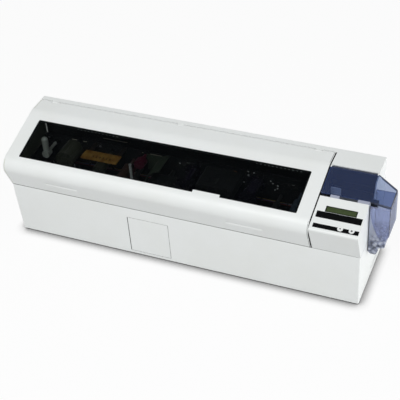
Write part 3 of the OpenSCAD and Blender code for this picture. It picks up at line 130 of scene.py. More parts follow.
class Mat:
    """A Principled material with a few procedural layers, all by object coordinates."""

    def __init__(self, name, color, rough, metallic=0.0, specular=None):
        self.mat = bpy.data.materials.new(name)
        self.mat.use_nodes = True
        self.nodes, self.links = self.mat.node_tree.nodes, self.mat.node_tree.links
        self.bsdf = self.nodes["Principled BSDF"]
        self.coords = self.nodes.new("ShaderNodeTexCoord")
        self.color = color
        self.normal = None
        self.set("Base Color", (*color, 1))
        self.set("Roughness", rough)
        self.set("Metallic", metallic)
        if specular is not None:
            self.set("Specular IOR Level", specular)
        M[name] = self

    def set(self, key, value):
        self.bsdf.inputs[key].default_value = value

    def node(self, kind, **values):
        """A new node with the values of its settings or its sockets."""
        n = self.nodes.new(kind)
        for key, value in values.items():
            if hasattr(n, key):
                setattr(n, key, value)
            else:
                n.inputs[key.replace("_", " ")].default_value = value
        return n

    def by_place(self, n):
        """Feeds a node with the shaded point's object coordinates."""
        self.links.new(self.coords.outputs["Object"], n.inputs["Vector"])
        return n

    def noise(self, scale, detail, stretch=None):
        n = self.node("ShaderNodeTexNoise", Scale=scale, Detail=detail, Roughness=0.55)
        if stretch is None:
            self.by_place(n)
        else:
            mapping = self.by_place(self.node("ShaderNodeMapping", Scale=stretch))
            self.links.new(mapping.outputs["Vector"], n.inputs["Vector"])
        return n.outputs["Fac"]

    def ramp(self, fac, stops):
        r = self.node("ShaderNodeValToRGB")
        while len(r.color_ramp.elements) < len(stops):
            r.color_ramp.elements.new(0.5)
        for element, (position, color) in zip(r.color_ramp.elements, stops):
            element.position = position
            element.color = (*color, 1)
        self.links.new(fac, r.inputs["Fac"])
        return r.outputs["Color"]

    def color_from(self, socket):
        self.links.new(socket, self.bsdf.inputs["Base Color"])

    def vary(self, other, scale, low=0.35, high=0.65, *, detail):
        """Base colour wanders between the main colour and another one."""
        fac = self.noise(scale, detail)
        self.color_from(self.ramp(fac, [(low, self.color), (high, other)]))

    def vary_rough(self, low, high, scale, detail, stretch=None):
        """Roughness wanders between two values."""
        fac = self.noise(scale, detail, stretch)
        self.links.new(self.span(fac, 0.3, 0.7, low, high), self.bsdf.inputs["Roughness"])

    def bump(self, socket, strength, distance):
        """Lays a height over the relief so far."""
        b = self.node("ShaderNodeBump", Strength=strength, Distance=distance)
        self.links.new(socket, b.inputs["Height"])
        if self.normal is not None:
            self.links.new(self.normal, b.inputs["Normal"])
        self.relief(b)

    def relief(self, n):
        self.normal = n.outputs["Normal"]
        self.links.new(self.normal, self.bsdf.inputs["Normal"])

    def bevel(self, radius):
        return self.node("ShaderNodeBevel", samples=4, Radius=radius)

    def round_edges(self, radius):
        """Catches the light along moulded edges."""
        self.relief(self.bevel(radius))

    def math(self, operation, a, b=None):
        n = self.node("ShaderNodeMath", operation=operation)
        for i, value in enumerate((a, b)):
            if isinstance(value, (int, float)):
                n.inputs[i].default_value = value
            elif value is not None:
                self.links.new(value, n.inputs[i])
        return n.outputs[0]

    def span(self, socket, low, high, to_low, to_high):
        """A value carried from one range to another, clamped at both ends."""
        n = self.node("ShaderNodeMapRange", From_Min=low, From_Max=high,
                      To_Min=to_low, To_Max=to_high)
        self.links.new(socket, n.inputs["Value"])
        return n.outputs["Result"]

    # Masks are 1 where they hold and 0 elsewhere; past, before and between take mm

    def axis(self, name):
        return self.by_place(self.node("ShaderNodeSeparateXYZ")).outputs[name]

    def above(self, socket, limit):
        return self.math("GREATER_THAN", socket, limit)

    def below(self, socket, limit):
        return self.math("LESS_THAN", socket, limit)

    def within(self, socket, low, high):
        return self.math("MULTIPLY", self.above(socket, low), self.below(socket, high))

    def past(self, axis, value):
        return self.above(self.axis(axis), metres(axis, value))

    def before(self, axis, value):
        return self.below(self.axis(axis), metres(axis, value))

    def between(self, axis, low, high):
        return self.within(self.axis(axis), metres(axis, low), metres(axis, high))

    def all_of(self, first, *others):
        for other in others:
            first = self.math("MULTIPLY", first, other)
        return first

    def any_of(self, first, *others):
        for other in others:
            first = self.math("MAXIMUM", first, other)
        return first

    def along(self, direction, origin):
        """Distance of the shaded point from an origin along a direction."""
        d = self.by_place(self.node("ShaderNodeVectorMath", operation="DOT_PRODUCT"))
        d.inputs[1].default_value = direction
        return self.math("SUBTRACT", d.outputs["Value"], direction.dot(origin))

    def reach(self, x, z):
        """Distance in metres from a front-to-back line through x and z (mm)."""
        squares = []
        for axis, value in (("X", x), ("Z", z)):
            d = self.math("SUBTRACT", self.axis(axis), metres(axis, value))
            squares.append(self.math("MULTIPLY", d, d))
        return self.math("SQRT", self.math("ADD", *squares))

    def blend(self, mask, first, second, into=None):
        """One colour or another by a mask; each may be a socket."""
        mix = self.node("ShaderNodeMix", data_type="RGBA")
        self.links.new(mask, mix.inputs[0])
        for i, value in ((6, first), (7, second)):
            if isinstance(value, tuple):
                mix.inputs[i].default_value = (*value, 1)
            else:
                self.links.new(value, mix.inputs[i])
        if into is not None:
            self.links.new(mix.outputs[2], into)
        return mix.outputs[2]

    def coat_where(self, mask, color):
        """Another base colour where the mask holds."""
        base = self.bsdf.inputs["Base Color"]
        self.blend(mask, base.links[0].from_socket, color, base)


def plastic(name, color, rough, grain=0.08, warm=0.97):
    """Moulded plastic with a fine grain and a slight wander of tone."""
    m = Mat(name, color, rough, specular=0.42)
    m.round_edges(0.0006)
    m.vary(times(color, warm, warm * 0.997, warm * 0.985), 9, 0.4, 0.75, detail=4)
    m.vary_rough(rough - 0.05, rough + 0.07, 38, detail=4)
    m.bump(m.noise(1500, detail=2), grain, 0.00012)
    m.bump(m.noise(5.5, detail=1), 0.05, 0.0012)
    return m


def metal(name, color, rough, stretch=None, scale=220, metallic=1.0):
    """Bare metal with the streaks of its rolling or grinding."""
    m = Mat(name, color, rough, metallic)
    m.round_edges(0.0003)
    m.vary(times(color, 0.86), 45, detail=5)
    m.bump(m.noise(scale, 5, stretch), 0.12, 0.0001)
    m.vary_rough(rough - 0.08, rough + 0.12, scale, 4, stretch)


def painted(name, color, rough):
    """Dull powder coat on steel."""
    m = Mat(name, color, rough, specular=0.12)
    m.round_edges(0.0004)
    m.vary(times(color, 1.45), 30, detail=5)
    m.bump(m.noise(1400, detail=3), 0.22, 0.00018)
    m.vary_rough(rough - 0.08, rough + 0.1, 80, detail=4)


def rubber(name, color, rough, drawn_out=0.08):
    """Roller rubber, its grain drawn out along the shaft."""
    m = Mat(name, color, rough)
    m.vary(tuple(c * 1.7 + 0.01 for c in color), 120, 0.45, 0.8, detail=6)
    m.vary_rough(rough - 0.1, rough + 0.08, 90, detail=4)
    m.bump(m.noise(900, 4, (1, drawn_out, 1)), 0.25, 0.0002)


def wound_film(name, color, other, rough, x, z):
    """Film on a roll: rings on the ends, fine lines across the face."""
    m = Mat(name, color, rough)
    turns_per_metre = 2600.0
    rings = m.math("FRACT", m.math("MULTIPLY", m.reach(x, z), turns_per_metre))
    m.color_from(m.ramp(rings, [(0.0, color), (0.75, color), (1.0, other)]))
    m.bump(rings, 0.3, 0.00015)
    m.vary_rough(rough - 0.06, rough + 0.12, 80, 4, (1, 0.1, 1))


def density(m, dense, edge_dense, rim=None):
    """How solid clear plastic looks: more where it is seen edge on, and along its rims."""
    facing = m.node("ShaderNodeLayerWeight", Blend=0.22)
    out = m.span(facing.outputs["Facing"], 0.0, 1.0, dense, edge_dense)
    if rim is not None:
        flat = m.node("ShaderNodeVectorMath", operation="DOT_PRODUCT")
        m.links.new(m.bevel(rim).outputs["Normal"], flat.inputs[0])
        m.links.new(m.node("ShaderNodeNewGeometry").outputs["Normal"], flat.inputs[1])
        out = m.any_of(out, m.span(flat.outputs["Value"], 0.99, 0.80, 0.0, 0.9))
    return out


def glaze(m, tint, dense):
    """Lets light through, tinted, where the plastic isn't dense."""
    through = m.node("ShaderNodeBsdfTransparent")
    if isinstance(tint, tuple):
        through.inputs["Color"].default_value = (*tint, 1)
    else:
        m.links.new(tint, through.inputs["Color"])
    mix = m.node("ShaderNodeMixShader")
    for i, socket in enumerate((dense, through.outputs[0], m.bsdf.outputs[0])):
        m.links.new(socket, mix.inputs[i])
    m.links.new(mix.outputs[0], m.nodes["Material Output"].inputs["Surface"])


def polish(m, rough):
    """The faint waves and scuffs of clear plastic."""
    m.bump(m.noise(26, detail=2), 0.06, 0.001)
    m.vary_rough(rough, rough + 0.07, 60, detail=5)


def smoked_plastic():
    """The lid's window, nearly black over the dark inside."""
    m = Mat("smoked_plastic", (0.002, 0.0025, 0.003), 0.045, specular=0.02)
    glaze(m, (0.95, 0.98, 0.97), density(m, 0.34, 0.85))
    m.vary(times(m.color, 0.9), 14, detail=2)
    polish(m, 0.045)


def line_on_slope(m, a, b, width):
    """A mask near a straight line between two (x, s) places of the slope."""
    start, end = (on_slope(x, s, 0) for x, s in (a, b))
    way = (end - start).normalized()
    across = m.within(m.along(way.cross(SLOPE_OUT), start), -width, width)
    reach = (end - start).length + width
    return m.all_of(across, m.within(m.along(way, start), -width, reach))


def cover_plastic():
    """Blue clear plastic of the feeder cover, dark where its cut edges show."""
    m = Mat("tinted_plastic", (0.04, 0.08, 0.24), 0.07, specular=0.9)
    outline, width = ((761, 175.4), (870, 175.4), (918.3, 143.7), (917, 95), (872, 99)), 0.0014
    edges = m.any_of(*(line_on_slope(m, a, b, width) for a, b in zip(outline, outline[1:])))
    m.vary((0.036, 0.07, 0.21), 14, detail=2)
    m.coat_where(edges, (0.012, 0.018, 0.045))
    glaze(m, (0.68, 0.73, 0.84), m.any_of(density(m, 0.11, 0.75, 0.0022), m.all_of(edges, 0.85)))
    polish(m, 0.07)


def hopper_plastic():
    """The cover's plastic: paler and denser on the front wall, painted light grey where the lit
    white end wall shows through, and small bumped facets with painted glints and dark flecks in the
    foot.
    """
    m = Mat("tinted_hopper", (0.03, 0.05, 0.12), 0.07, specular=0.9)
    front_y, seam_x, corner_x, corner_y, corner_z = 63.4, 871.9, 915.4, 60.4, 166
    ramp_x, ramp_z, ramp_radius = 1047.3, 240, 0.1755
    foot_begins, foot_full = 0.168, 0.138
    base = m.bsdf.inputs["Base Color"]
    front = m.before("Y", front_y)
    behind_ramp = m.all_of(front, m.above(m.reach(ramp_x, ramp_z), ramp_radius))
    foot = m.span(m.axis("Z"), foot_begins, foot_full, 0.0, 1.0)
    cells = m.by_place(m.node("ShaderNodeTexVoronoi", Scale=105.0)).outputs["Distance"]
    painted_glints = m.ramp(cells, [(0.1, (0.92, 0.94, 0.98)), (0.4, (0.42, 0.45, 0.56)),
                            (0.75, (0.03, 0.04, 0.07))])
    # Painted light: grey nearer the casing for the lit end wall seen through, painted glints in the
    # foot
    m.blend(front, m.color, (0.36, 0.39, 0.58), base)
    m.coat_where(behind_ramp, (0.60, 0.62, 0.68))
    m.blend(foot, base.links[0].from_socket, painted_glints, base)
    seam = m.all_of(m.before("X", seam_x), front)
    corner = m.all_of(m.past("X", corner_x), m.past("Z", corner_z), m.before("Y", corner_y))
    lines = m.any_of(seam, corner)
    m.coat_where(lines, (0.015, 0.02, 0.045))
    dense = density(m, 0.10, 0.75, 0.0022)
    for mask, least in ((front, 0.26), (behind_ramp, 0.42), (foot, 0.55), (lines, 0.85)):
        dense = m.any_of(dense, m.all_of(mask, least))
    glaze(m, m.blend(front, (0.66, 0.71, 0.84), (0.84, 0.87, 0.95)), dense)
    polish(m, 0.07)
    m.bump(m.all_of(cells, foot), 0.7, 0.004)


def white_moulding(name):
    return plastic(name, WHITE, 0.42, grain=0.10)


def shaded_shell():
    """White moulding with painted shade: black inside, a shadow line at the seam, dark door-opening
    walls.
    """
    m = white_moulding("white_shaded")
    low, high = at(2.6, 2.6, 8.5), at(867.4, 202.4, 266.4)
    foot_z, foot_lean = 0.003, 0.007  # the left end leans in from the seam to its foot
    lean = m.span(m.axis("Z"), foot_z, metres("Z", SEAM_Z), foot_lean, 0.0)
    left_part = m.within(m.math("SUBTRACT", m.axis("X"), lean), low.x, high.x - foot_lean)
    inside = m.all_of(
        m.any_of(left_part, m.within(m.axis("X"), 0.0, high.x)),
        m.within(m.axis("Y"), low.y, high.y),
        m.within(m.axis("Z"), low.z, high.z),
        m.below(m.along(SLOPE_OUT, on_slope(0, 0, 0)), -SKIN))
    # Painted shade inside the shell, a painted shadow line at the seam and in the door opening
    m.coat_where(inside, SHADE_BLACK)
    m.coat_where(m.between("Z", SEAM_Z + 0.2, SEAM_Z + 1.1), SHADOW_LINE)
    opening = m.all_of(m.between("X", *DOOR_X), m.between("Z", *DOOR_Z), m.between("Y", 0.25, 7))
    m.coat_where(opening, SHADE_BLACK)


def edged_door():
    """White door with a thin painted shadow line along its top, foot and right-hand cut edges."""
    m = white_moulding("white_door")
    shade_line = m.any_of(m.past("X", DOOR_X[1] - 1), m.past("Z", DOOR_Z[1] - 1),
                    m.before("Z", DOOR_Z[0] + 1))
    # Painted shadow line where the door meets its opening
    m.coat_where(m.all_of(shade_line, m.past("Y", 0.3)), SHADOW_LINE)


def lid_shell():
    """White moulding with painted shade: an olive grey left wall inside, black under the window's
    rim and on the right wall inside, and dark shadow lines along its lower and right-hand edges."""
    m = white_moulding("white_lid")
    rim_x, rim_s, rim_n = (22, 737), (0.022, 0.163), (-0.009, -0.0017)
    left_wall_x, right_wall_x, end_x = (2.6, 3.4), (755.6, 756.4), 757.9
    corner = on_slope(0, 0, 0)
    height = m.along(SLOPE_OUT, corner)
    # Painted shade: black under the window's rim and on the right wall, olive grey on the left wall
    rim_shade = m.all_of(m.between("X", *rim_x), m.within(m.along(SLOPE_UP, corner), *rim_s),
                      m.within(height, *rim_n))
    m.coat_where(rim_shade, SHADE_BLACK)
    inside = m.below(height, -SKIN)
    m.coat_where(m.all_of(inside, m.between("X", *left_wall_x)), OLIVE)
    m.coat_where(m.all_of(inside, m.between("X", *right_wall_x)), SHADE_BLACK)
    # Painted shadow lines along the lid's lower and right-hand edges
    edges = m.any_of(m.past("X", end_x), m.before("Z", SEAM_Z + 2))
    m.coat_where(edges, (0.006, 0.006, 0.007))


def amber_plate():
    """Amber heater cover, dark brown on its rear part."""
    rear_y = 111.2
    m = Mat("amber_plastic", (0.66, 0.36, 0.08), 0.28)
    m.round_edges(0.0004)
    m.vary((0.34, 0.13, 0.02), 60, detail=4)
    m.bump(m.noise(300, detail=2), 0.1, 0.0001)
    m.coat_where(m.past("Y", rear_y), (0.022, 0.014, 0.010))


def brick_color(m, colors, mortar_size, scale, **values):
    """A grid of cells in two colours with lines between them, as the base colour."""
    bricks = m.node("ShaderNodeTexBrick", Scale=scale, Mortar_Size=mortar_size, **values)
    m.by_place(bricks)
    for key, color in zip(("Color1", "Color2", "Mortar"), colors):
        bricks.inputs[key].default_value = (*color, 1)
    m.color_from(bricks.outputs["Color"])
    return bricks.outputs["Fac"]


def circuit_board():
    """Green board with a grid of traces."""
    m = Mat("circuit_green", (0.012, 0.11, 0.045), 0.34)
    colors = ((0.010, 0.085, 0.038), (0.018, 0.125, 0.055), (0.05, 0.20, 0.09))
    traces = brick_color(m, colors, 0.03, 95.0)
    m.bump(traces, 0.25, 0.0001)
    m.vary_rough(0.25, 0.5, 200, detail=3)


def display():
    """Unlit character window: faint columns of cells, no characters."""
    m = Mat("display_green", (0.044, 0.064, 0.023), 0.13, specular=0.12)
    colors = ((0.040, 0.058, 0.020), (0.047, 0.068, 0.025), (0.028, 0.042, 0.014))
    brick_color(m, colors, 0.00025, 1.0, offset=0.0, Brick_Width=0.0042, Row_Height=0.0072)
    m.bump(m.noise(30, detail=1), 0.03, 0.001)
    m.vary_rough(0.09, 0.2, 50, detail=4)


def label():
    """Bare black label film with a fine grain."""
    m = Mat("label_black", (0.0018, 0.002, 0.0022), 0.26, specular=0.03)
    m.vary((0.0036, 0.0038, 0.0045), 150, detail=5)
    m.vary_rough(0.2, 0.36, 70, detail=4)
    m.bump(m.noise(1800, detail=2), 0.14, 0.0001)


def card_stock():
    """A stack of cards: a painted shade line in each gap between one card and the next."""
    face, shade_line = (0.82, 0.82, 0.80), (0.50, 0.50, 0.49)
    cards_per_metre = 1316.0
    m = Mat("card_white", face, 0.3)
    wave = m.math("FRACT", m.math("MULTIPLY", m.axis("Z"), cards_per_metre))
    # Painted shade in the gaps between the cards
    m.color_from(m.ramp(m.above(wave, 0.80), [(0.0, face), (1.0, shade_line)]))
    m.bump(wave, 0.5, 0.0002)
    m.vary_rough(0.24, 0.4, 120, detail=4)


white_moulding("white_plastic")
shaded_shell()
lid_shell()
edged_door()
plastic("black_plastic", (0.016, 0.017, 0.019), 0.36, grain=0.12, warm=1.5)
plastic("grey_plastic", (0.20, 0.195, 0.185), 0.42)
plastic("lever_white", (0.78, 0.79, 0.76), 0.33)
plastic("cam_maroon", (0.15, 0.016, 0.045), 0.30, warm=0.8)
plastic("frosted_plastic", (0.32, 0.34, 0.43), 0.55, grain=0.2)
cover_plastic()
hopper_plastic()
smoked_plastic()
amber_plate()
rubber("rubber_black", (0.022, 0.022, 0.024), 0.72)
rubber("silicone_brown", (0.075, 0.036, 0.028), 0.4, 0.05)
rubber("silicone_red", (0.15, 0.025, 0.03), 0.42, 0.05)
rubber("tacky_blue", (0.07, 0.09, 0.13), 0.22, 0.3)
metal("steel_bright", (0.60, 0.61, 0.63), 0.28, (1, 0.05, 1))
metal("spring_chrome", (0.86, 0.87, 0.88), 0.22, scale=500, metallic=0.4)
metal("motor_metal", (0.33, 0.34, 0.36), 0.38, scale=300)
metal("brass_gear", (0.62, 0.45, 0.19), 0.30, scale=420)
metal("zinc_plate", (0.50, 0.52, 0.53), 0.42, (0.06, 1, 1), scale=160)
painted("steel_dark", (0.013, 0.014, 0.016), 0.46)
painted("guide_green", (0.055, 0.070, 0.050), 0.42)
circuit_board()
display()
label()
card_stock()
wound_film("laminate_film", (0.075, 0.078, 0.056), (0.045, 0.045, 0.032), 0.25, 118, 192)
wound_film("laminate_film_2", (0.06, 0.062, 0.045), (0.036, 0.036, 0.026), 0.28, 205, 178)
wound_film("ribbon_violet", (0.010, 0.008, 0.018), (0.022, 0.017, 0.038), 0.2, 590, 190)
wound_film("ribbon_violet_2", (0.009, 0.007, 0.016), (0.02, 0.015, 0.034), 0.2, 432, 190)

# Nodes with a material of their own in place of their record slot's
OWN = {
    "output_hopper": "tinted_hopper",
    "front_door": "white_door",
    "base_casing": "white_shaded",
    "upper_housing": "white_shaded",
    "main_lid": "white_lid",
    "laminate_takeup_roll": "laminate_film_2",
    "ribbon_takeup_spool": "ribbon_violet_2",
}
for entry in frame["record"]["subparts"]:
    slots = NODES[entry["node"]].data.materials
    slots.clear()
    slots.append(M[OWN.get(entry["node"], entry["material_slot"])].mat)

# ---------------------------------------------------------------- small pieces
WIRES = {
    "wire_red": (0.30, 0.02, 0.015),
    "wire_white": (0.55, 0.55, 0.53),
    "wire_grey": (0.16, 0.16, 0.17),
    "wire_yellow": (0.45, 0.30, 0.03),
    "wire_blue": (0.03, 0.07, 0.30),
}
for key, color in WIRES.items():
    plastic(key, color, 0.36, grain=0.04)
plastic("chip_black", (0.012, 0.012, 0.013), 0.5, grain=0.3, warm=1.4)
plastic("pad_grey", (0.82, 0.83, 0.80), 0.5)
plastic("connector_cream", (0.58, 0.54, 0.42), 0.4)
metal("solder", (0.62, 0.63, 0.62), 0.3, scale=900)
plastic("flex_amber", (0.36, 0.14, 0.02), 0.25, grain=0.05)


SHARP_ANGLE = math.radians(38)


def add_mesh(name, bm, mats, body="casework", smooth=True):
    """Makes a piece of a mesh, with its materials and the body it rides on."""
    mesh = bpy.data.meshes.new(name)
    bmesh.ops.remove_doubles(bm, verts=bm.verts, dist=1e-7)
    bmesh.ops.recalc_face_normals(bm, faces=bm.faces)
    bm.to_mesh(mesh)
    bm.free()
    for key in mats:
        mesh.materials.append(M[key].mat)
    for p in mesh.polygons:
        p.use_smooth = smooth
    obj = bpy.data.objects.new(name, mesh)
    LINK(obj)
    if smooth:
        mesh.set_sharp_from_angle(angle=SHARP_ANGLE)
    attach(obj, body)
    return obj


LOBE_DEPTH = 0.42       # of a driver recess, as a share of its radius
LARGEST_CHAMFER = 0.45  # of a block, as a share of its side


def lathe(bm, place, direction, profile, steps=28, mat=0, lobes=0):
    """Revolves (radius, height) pairs in mm about an axis. Lobes shape the last two rings, as the
    recess for a driver."""
    d = Vector(direction).normalized()
    upright = abs(d.z) > 0.9
    u = (d.orthogonal() if upright else Vector((0, 0, 1)).cross(d)).normalized()
    v = d.cross(u)
    rings = []
    for k, (radius, height) in enumerate(profile):
        depth = LOBE_DEPTH if lobes and k >= len(profile) - 2 else 0
        ring = []
        for i in range(steps):
            a = 2 * math.pi * i / steps
            r = radius * (1 + depth * math.cos(lobes * a))
            out = u * (r * math.cos(a)) + v * (r * math.sin(a)) + d * height
            ring.append(bm.verts.new(place + out / PER_M))
        rings.append(ring)
    faces = [rings[0], rings[-1]]
    for a, b in zip(rings, rings[1:]):
        faces += [(a[i - 1], a[i], b[i], b[i - 1]) for i in range(steps)]
    for face in faces:
        bm.faces.new(face).material_index = mat


def slab(bm, low, high, mat, chamfer):
    """A block between two corners (mm) with chamfered edges. Three faces meet at a corner, and it
    has a vertex on each of them, named by the axis that the face lies across."""
    lo, hi = Vector(low), Vector(high)
    cut = min(chamfer, *(LARGEST_CHAMFER * (hi - lo)[i] for i in range(3)))
    verts = {}
    for side in product((0, 1), repeat=3):
        corner = Vector([hi[i] if s else lo[i] for i, s in enumerate(side)])
        inward = Vector([-1 if s else 1 for s in side]) * cut
        for k in range(3):
            p = corner + inward
            p[k] = corner[k]
            verts[side, k] = bm.verts.new(at(*p))

    def vert(face, sides):
        return verts[tuple(sides[axis] for axis in range(3)), face]

    faces = []
    for k in range(3):
        i, j = (axis for axis in range(3) if axis != k)
        for end in (0, 1):
            loop = ((0, 0), (1, 0), (1, 1), (0, 1))
            faces.append([vert(k, {k: end, i: a, j: b}) for a, b in loop])
        for a, b in product((0, 1), repeat=2):
            loop = ((0, i), (1, i), (1, j), (0, j))
            faces.append([vert(face, {k: end, i: a, j: b}) for end, face in loop])
    faces += [[verts[side, k] for k in range(3)] for side in product((0, 1), repeat=3)]
    for face in faces:
        bm.faces.new(face).material_index = mat


def slabs(name, blocks, mat, chamfer):
    """One piece of several blocks."""
    bm = bmesh.new()
    for low, high in blocks:
        slab(bm, low, high, 0, chamfer)
    add_mesh(name, bm, [mat])


FORWARD, BACKWARD, DOWNWARD = (0, -1, 0), (0, 1, 0), (0, 0, -1)
CROSS = {"steps": 32, "lobes": 4}  # a screw's round head with its cross recess
SCREW = [(2.6, 0), (2.8, 0.5), (2.6, 1.2), (2.0, 1.65), (1.5, 1.8), (1.15, 1.82), (0.9, 0.9)]


def screws(name, places, direction, key="steel_bright", size=1.0):
    """One piece of several pan-head screws."""
    bm = bmesh.new()
    profile = [(r * size, h * size) for r, h in SCREW]
    for p in places:
        lathe(bm, at(*p), direction, profile, **CROSS)
    add_mesh(name, bm, [key])


WALL_SCREWS_X = (28, 88, 172, 240, 318, 400, 560, 700, 738)
RAIL_SCREWS_X = (30, 90, 180, 220, 318, 408, 500, 585, 662, 712, 742)
screws("chassis_wall_screws",
       [(x, CHASSIS_WALL_Y, z) for x in WALL_SCREWS_X for z in (108, 186 if x > 28 else 184)],
       FORWARD)
screws("chassis_rail_screws", [(x, FRONT_RAIL_Y, 165) for x in RAIL_SCREWS_X], FORWARD)
screws("pan_screws", [(x, y, PAN_Z) for x in (30, 230, 640, 842) for y in (12, 193)], DOWNWARD,
       key="zinc_plate")


def flush_screws(name, places):
    """Countersunk screws that lie flush in the rear wall, each with a black cross that stands in
    for the shade in its driver recess.
    """
    bm = bmesh.new()
    for x, z in places:
        head = at(x, CASE_BACK_Y, z)
        lathe(bm, head, BACKWARD, [(3.4, -0.1), (3.4, 0.012), (3.1, 0.02)], steps=32)
        # The black cross is painted shade for the driver recess
        lathe(bm, head, BACKWARD, [(1.5, 0.0), (1.5, 0.032), (1.3, 0.036)], mat=1, **CROSS)
    add_mesh(name, bm, ["steel_bright", "chip_black"])


flush_screws("rear_screws", product((22, 250, 640, 848), (20, 130)))
flush_screws("rear_upper_screws", [(x, 158) for x in (22, 250, 450, 730, 848)])

# Retaining clips on the front ends of the through shafts
SHAFTS = ((733, 143.6, 4), (733, 158.4, 3), (690, 161.4, 4), (640, 143.6, 4), (480, 141.6, 4),
          (425, 143.6, 4))
bm = bmesh.new()
for x, z, r in SHAFTS:
    lathe(bm, at(x, SHAFT_END_Y, z), FORWARD,
          [(r * 0.98, -0.1), (r * 0.98, 0.35), (r * 0.6, 0.75), (r * 0.25, 0.8), (r * 0.1, 0.5)])
add_mesh("shaft_ends", bm, ["steel_bright"])

# Bright clips on the rear wall of the print station
CLIPS = ((574, 196), (560, 197), (548, 163), (615, 181), (620, 175), (632, 171), (625, 158),
         (631, 163), (385, 182))
screws("wall_clips", [(x, CHASSIS_WALL_Y, z) for x, z in CLIPS], FORWARD,
       key="spring_chrome", size=0.8)

# Guide strips on the rear walls, and the grey pad on the rear wall of the card tray
slabs("wall_strips",
      [((94, 148.6, 191.6), (136, 150, 193.1)), ((286, 148.6, 191.8), (339, 150, 193.3)),
       ((152, 200.4, 171.0), (220, 202, 172.6))], "connector_cream", 0.3)
slabs("tray_pad", [((767, 117.8, 205), (791, 119.6, 225))], "pad_grey", 0.6)


def rounded_line(points, radii, inset):
    """(y, z) points of an outline with rounded corners, moved to its left by the inset."""
    steps = 10
    out = []
    for i, (y, z) in enumerate(points):
        here = Vector((y, z))
        ways = [(here - Vector(points[i - 1])).normalized()] if i else []
        if i + 1 < len(points):
            ways.append((Vector(points[i + 1]) - here).normalized())
        left = [Vector((-way.y, way.x)) for way in ways]
        if len(left) == 1:
            out.append(here + left[0] * inset)
            continue
        middle = here + (left[0] + left[1]) * radii[i] / (1 + left[0].dot(left[1]))
        for k in range(steps + 1):
            out.append(middle - left[0].slerp(left[1], k / steps) * (radii[i] - inset))
    return out


def shade_band(bm, x0, x1, points, radii, near, far):
    """A band between x0 and x1, from near to far inside an outline."""
    rows = [[bm.verts.new(at(x, p.x, p.y)) for p in rounded_line(points, radii, inset)]
            for x, inset in ((x0, near), (x1, near), (x1, far), (x0, far))]
    for a, b in zip(rows, rows[1:] + rows[:1]):
        for k in range(len(a) - 1):
            bm.faces.new((a[k], a[k + 1], b[k + 1], b[k]))
    for k in (0, -1):
        bm.faces.new([row[k] for row in rows])


# Black bands standing in for the shade in the gaps: one down the right-hand end of the lid, one
# along the seam below it
END_OUTLINE, END_RADII = [(183, 269), (141, 269), NOSE, (-1, 143)], [0, 50, 27, 0]
bm = bmesh.new()
shade_band(bm, 759.25, 760.97, END_OUTLINE, END_RADII, 0.02, 3.0)
slab(bm, (3, 0.12, SEAM_Z), (CASE_RIGHT_X - 4, 4.5, SEAM_Z + 0.5), 0, 0.05)
add_mesh("lid_gap_shade", bm, ["label_black"])


LOOM_X = range(42, 719, 26)
WIRE_RADIUS = 0.75


def loom(name, key, y, z, phase, body="casework"):
    """A wire along the rear wall that wavers a little."""
    path = []
    for i, x in enumerate(LOOM_X):
        wave_y, wave_z = 0.5 * math.sin(i * 1.7 + phase), 0.9 * math.sin(i * 0.9 + phase * 2)
        path.append((x, y + wave_y, z + wave_z))
    data = bpy.data.curves.new(name, "CURVE")
    data.dimensions = "3D"
    data.bevel_depth = WIRE_RADIUS / PER_M
    data.bevel_resolution = 3
    data.use_fill_caps = True
    spline = data.splines.new("NURBS")
    spline.points.add(len(path) - 1)
    for p, q in zip(spline.points, path):
        p.co = (*at(*q), 1)
    spline.use_endpoint_u = True
    spline.order_u = 3
    data.materials.append(M[key].mat)
    obj = bpy.data.objects.new(name, data)
    LINK(obj)
    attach(obj, body)


# Six wires in two columns, and their clips
LOOM = ("wire_grey", "wire_red", "wire_white", "wire_grey", "wire_yellow", "wire_blue")
for i, key in enumerate(LOOM):
    row, column = divmod(i, 2)
    loom("loom_%d" % i, key, 147.6 - 1.7 * column, 122.5 + 1.5 * row, i)
slabs("loom_clips",
      [((x, 144.2, 120.8), (x + 3.2, CHASSIS_WALL_Y, 128.6)) for x in range(70, 720, 65)],
      "black_plastic", 0.5)

# Small boards on the rear wall, each with a sensor, a chip and its legs
SENSOR_LENGTH, SENSOR_HEIGHT = 26, 15
bm = bmesh.new()
for x, z in ((655, 172), (520, 172), (392, 178), (170, 150), (336, 104)):
    end, top = x + SENSOR_LENGTH, z + SENSOR_HEIGHT
    slab(bm, (x, 147.4, z), (end, 149, top), 0, 0.2)
    slab(bm, (x + 3, 144.2, z + 3), (x + 9, 147.6, top - 3), 1, 0.4)
    slab(bm, (x + 12, 145.8, z + 3), (end - 6, 147.6, top - 5), 2, 0.3)
    for k in range(5):
        leg = x + 12.4 + k * 1.5
        slab(bm, (leg, 147.0, top - 4.4), (leg + 0.7, 147.5, top - 2.4), 3, 0.1)
add_mesh("sensor_boards", bm, ["chip_black", "black_plastic", "chip_black", "solder"], smooth=False)

# Flat flexible cable from the printhead carrier down to the rear wall
FLEX = ((520, 140.5, 197), (524, 143.2, 196), (527, 144.6, 190), (529, 145.2, 182),
        (530, 145.8, 172))
FLEX_WIDTH, FLEX_THICKNESS = 18, 0.3
bm = bmesh.new()
rows = [[bm.verts.new(at(x + side * FLEX_WIDTH, y, z)) for side in (-0.5, 0.5)]
        for x, y, z in FLEX]
for a, b in zip(rows, rows[1:]):
    bm.faces.new((a[0], a[1], b[1], b[0]))
flex = add_mesh("head_flex", bm, ["flex_amber"])
flex.modifiers.new("thick", "SOLIDIFY").thickness = FLEX_THICKNESS / PER_M


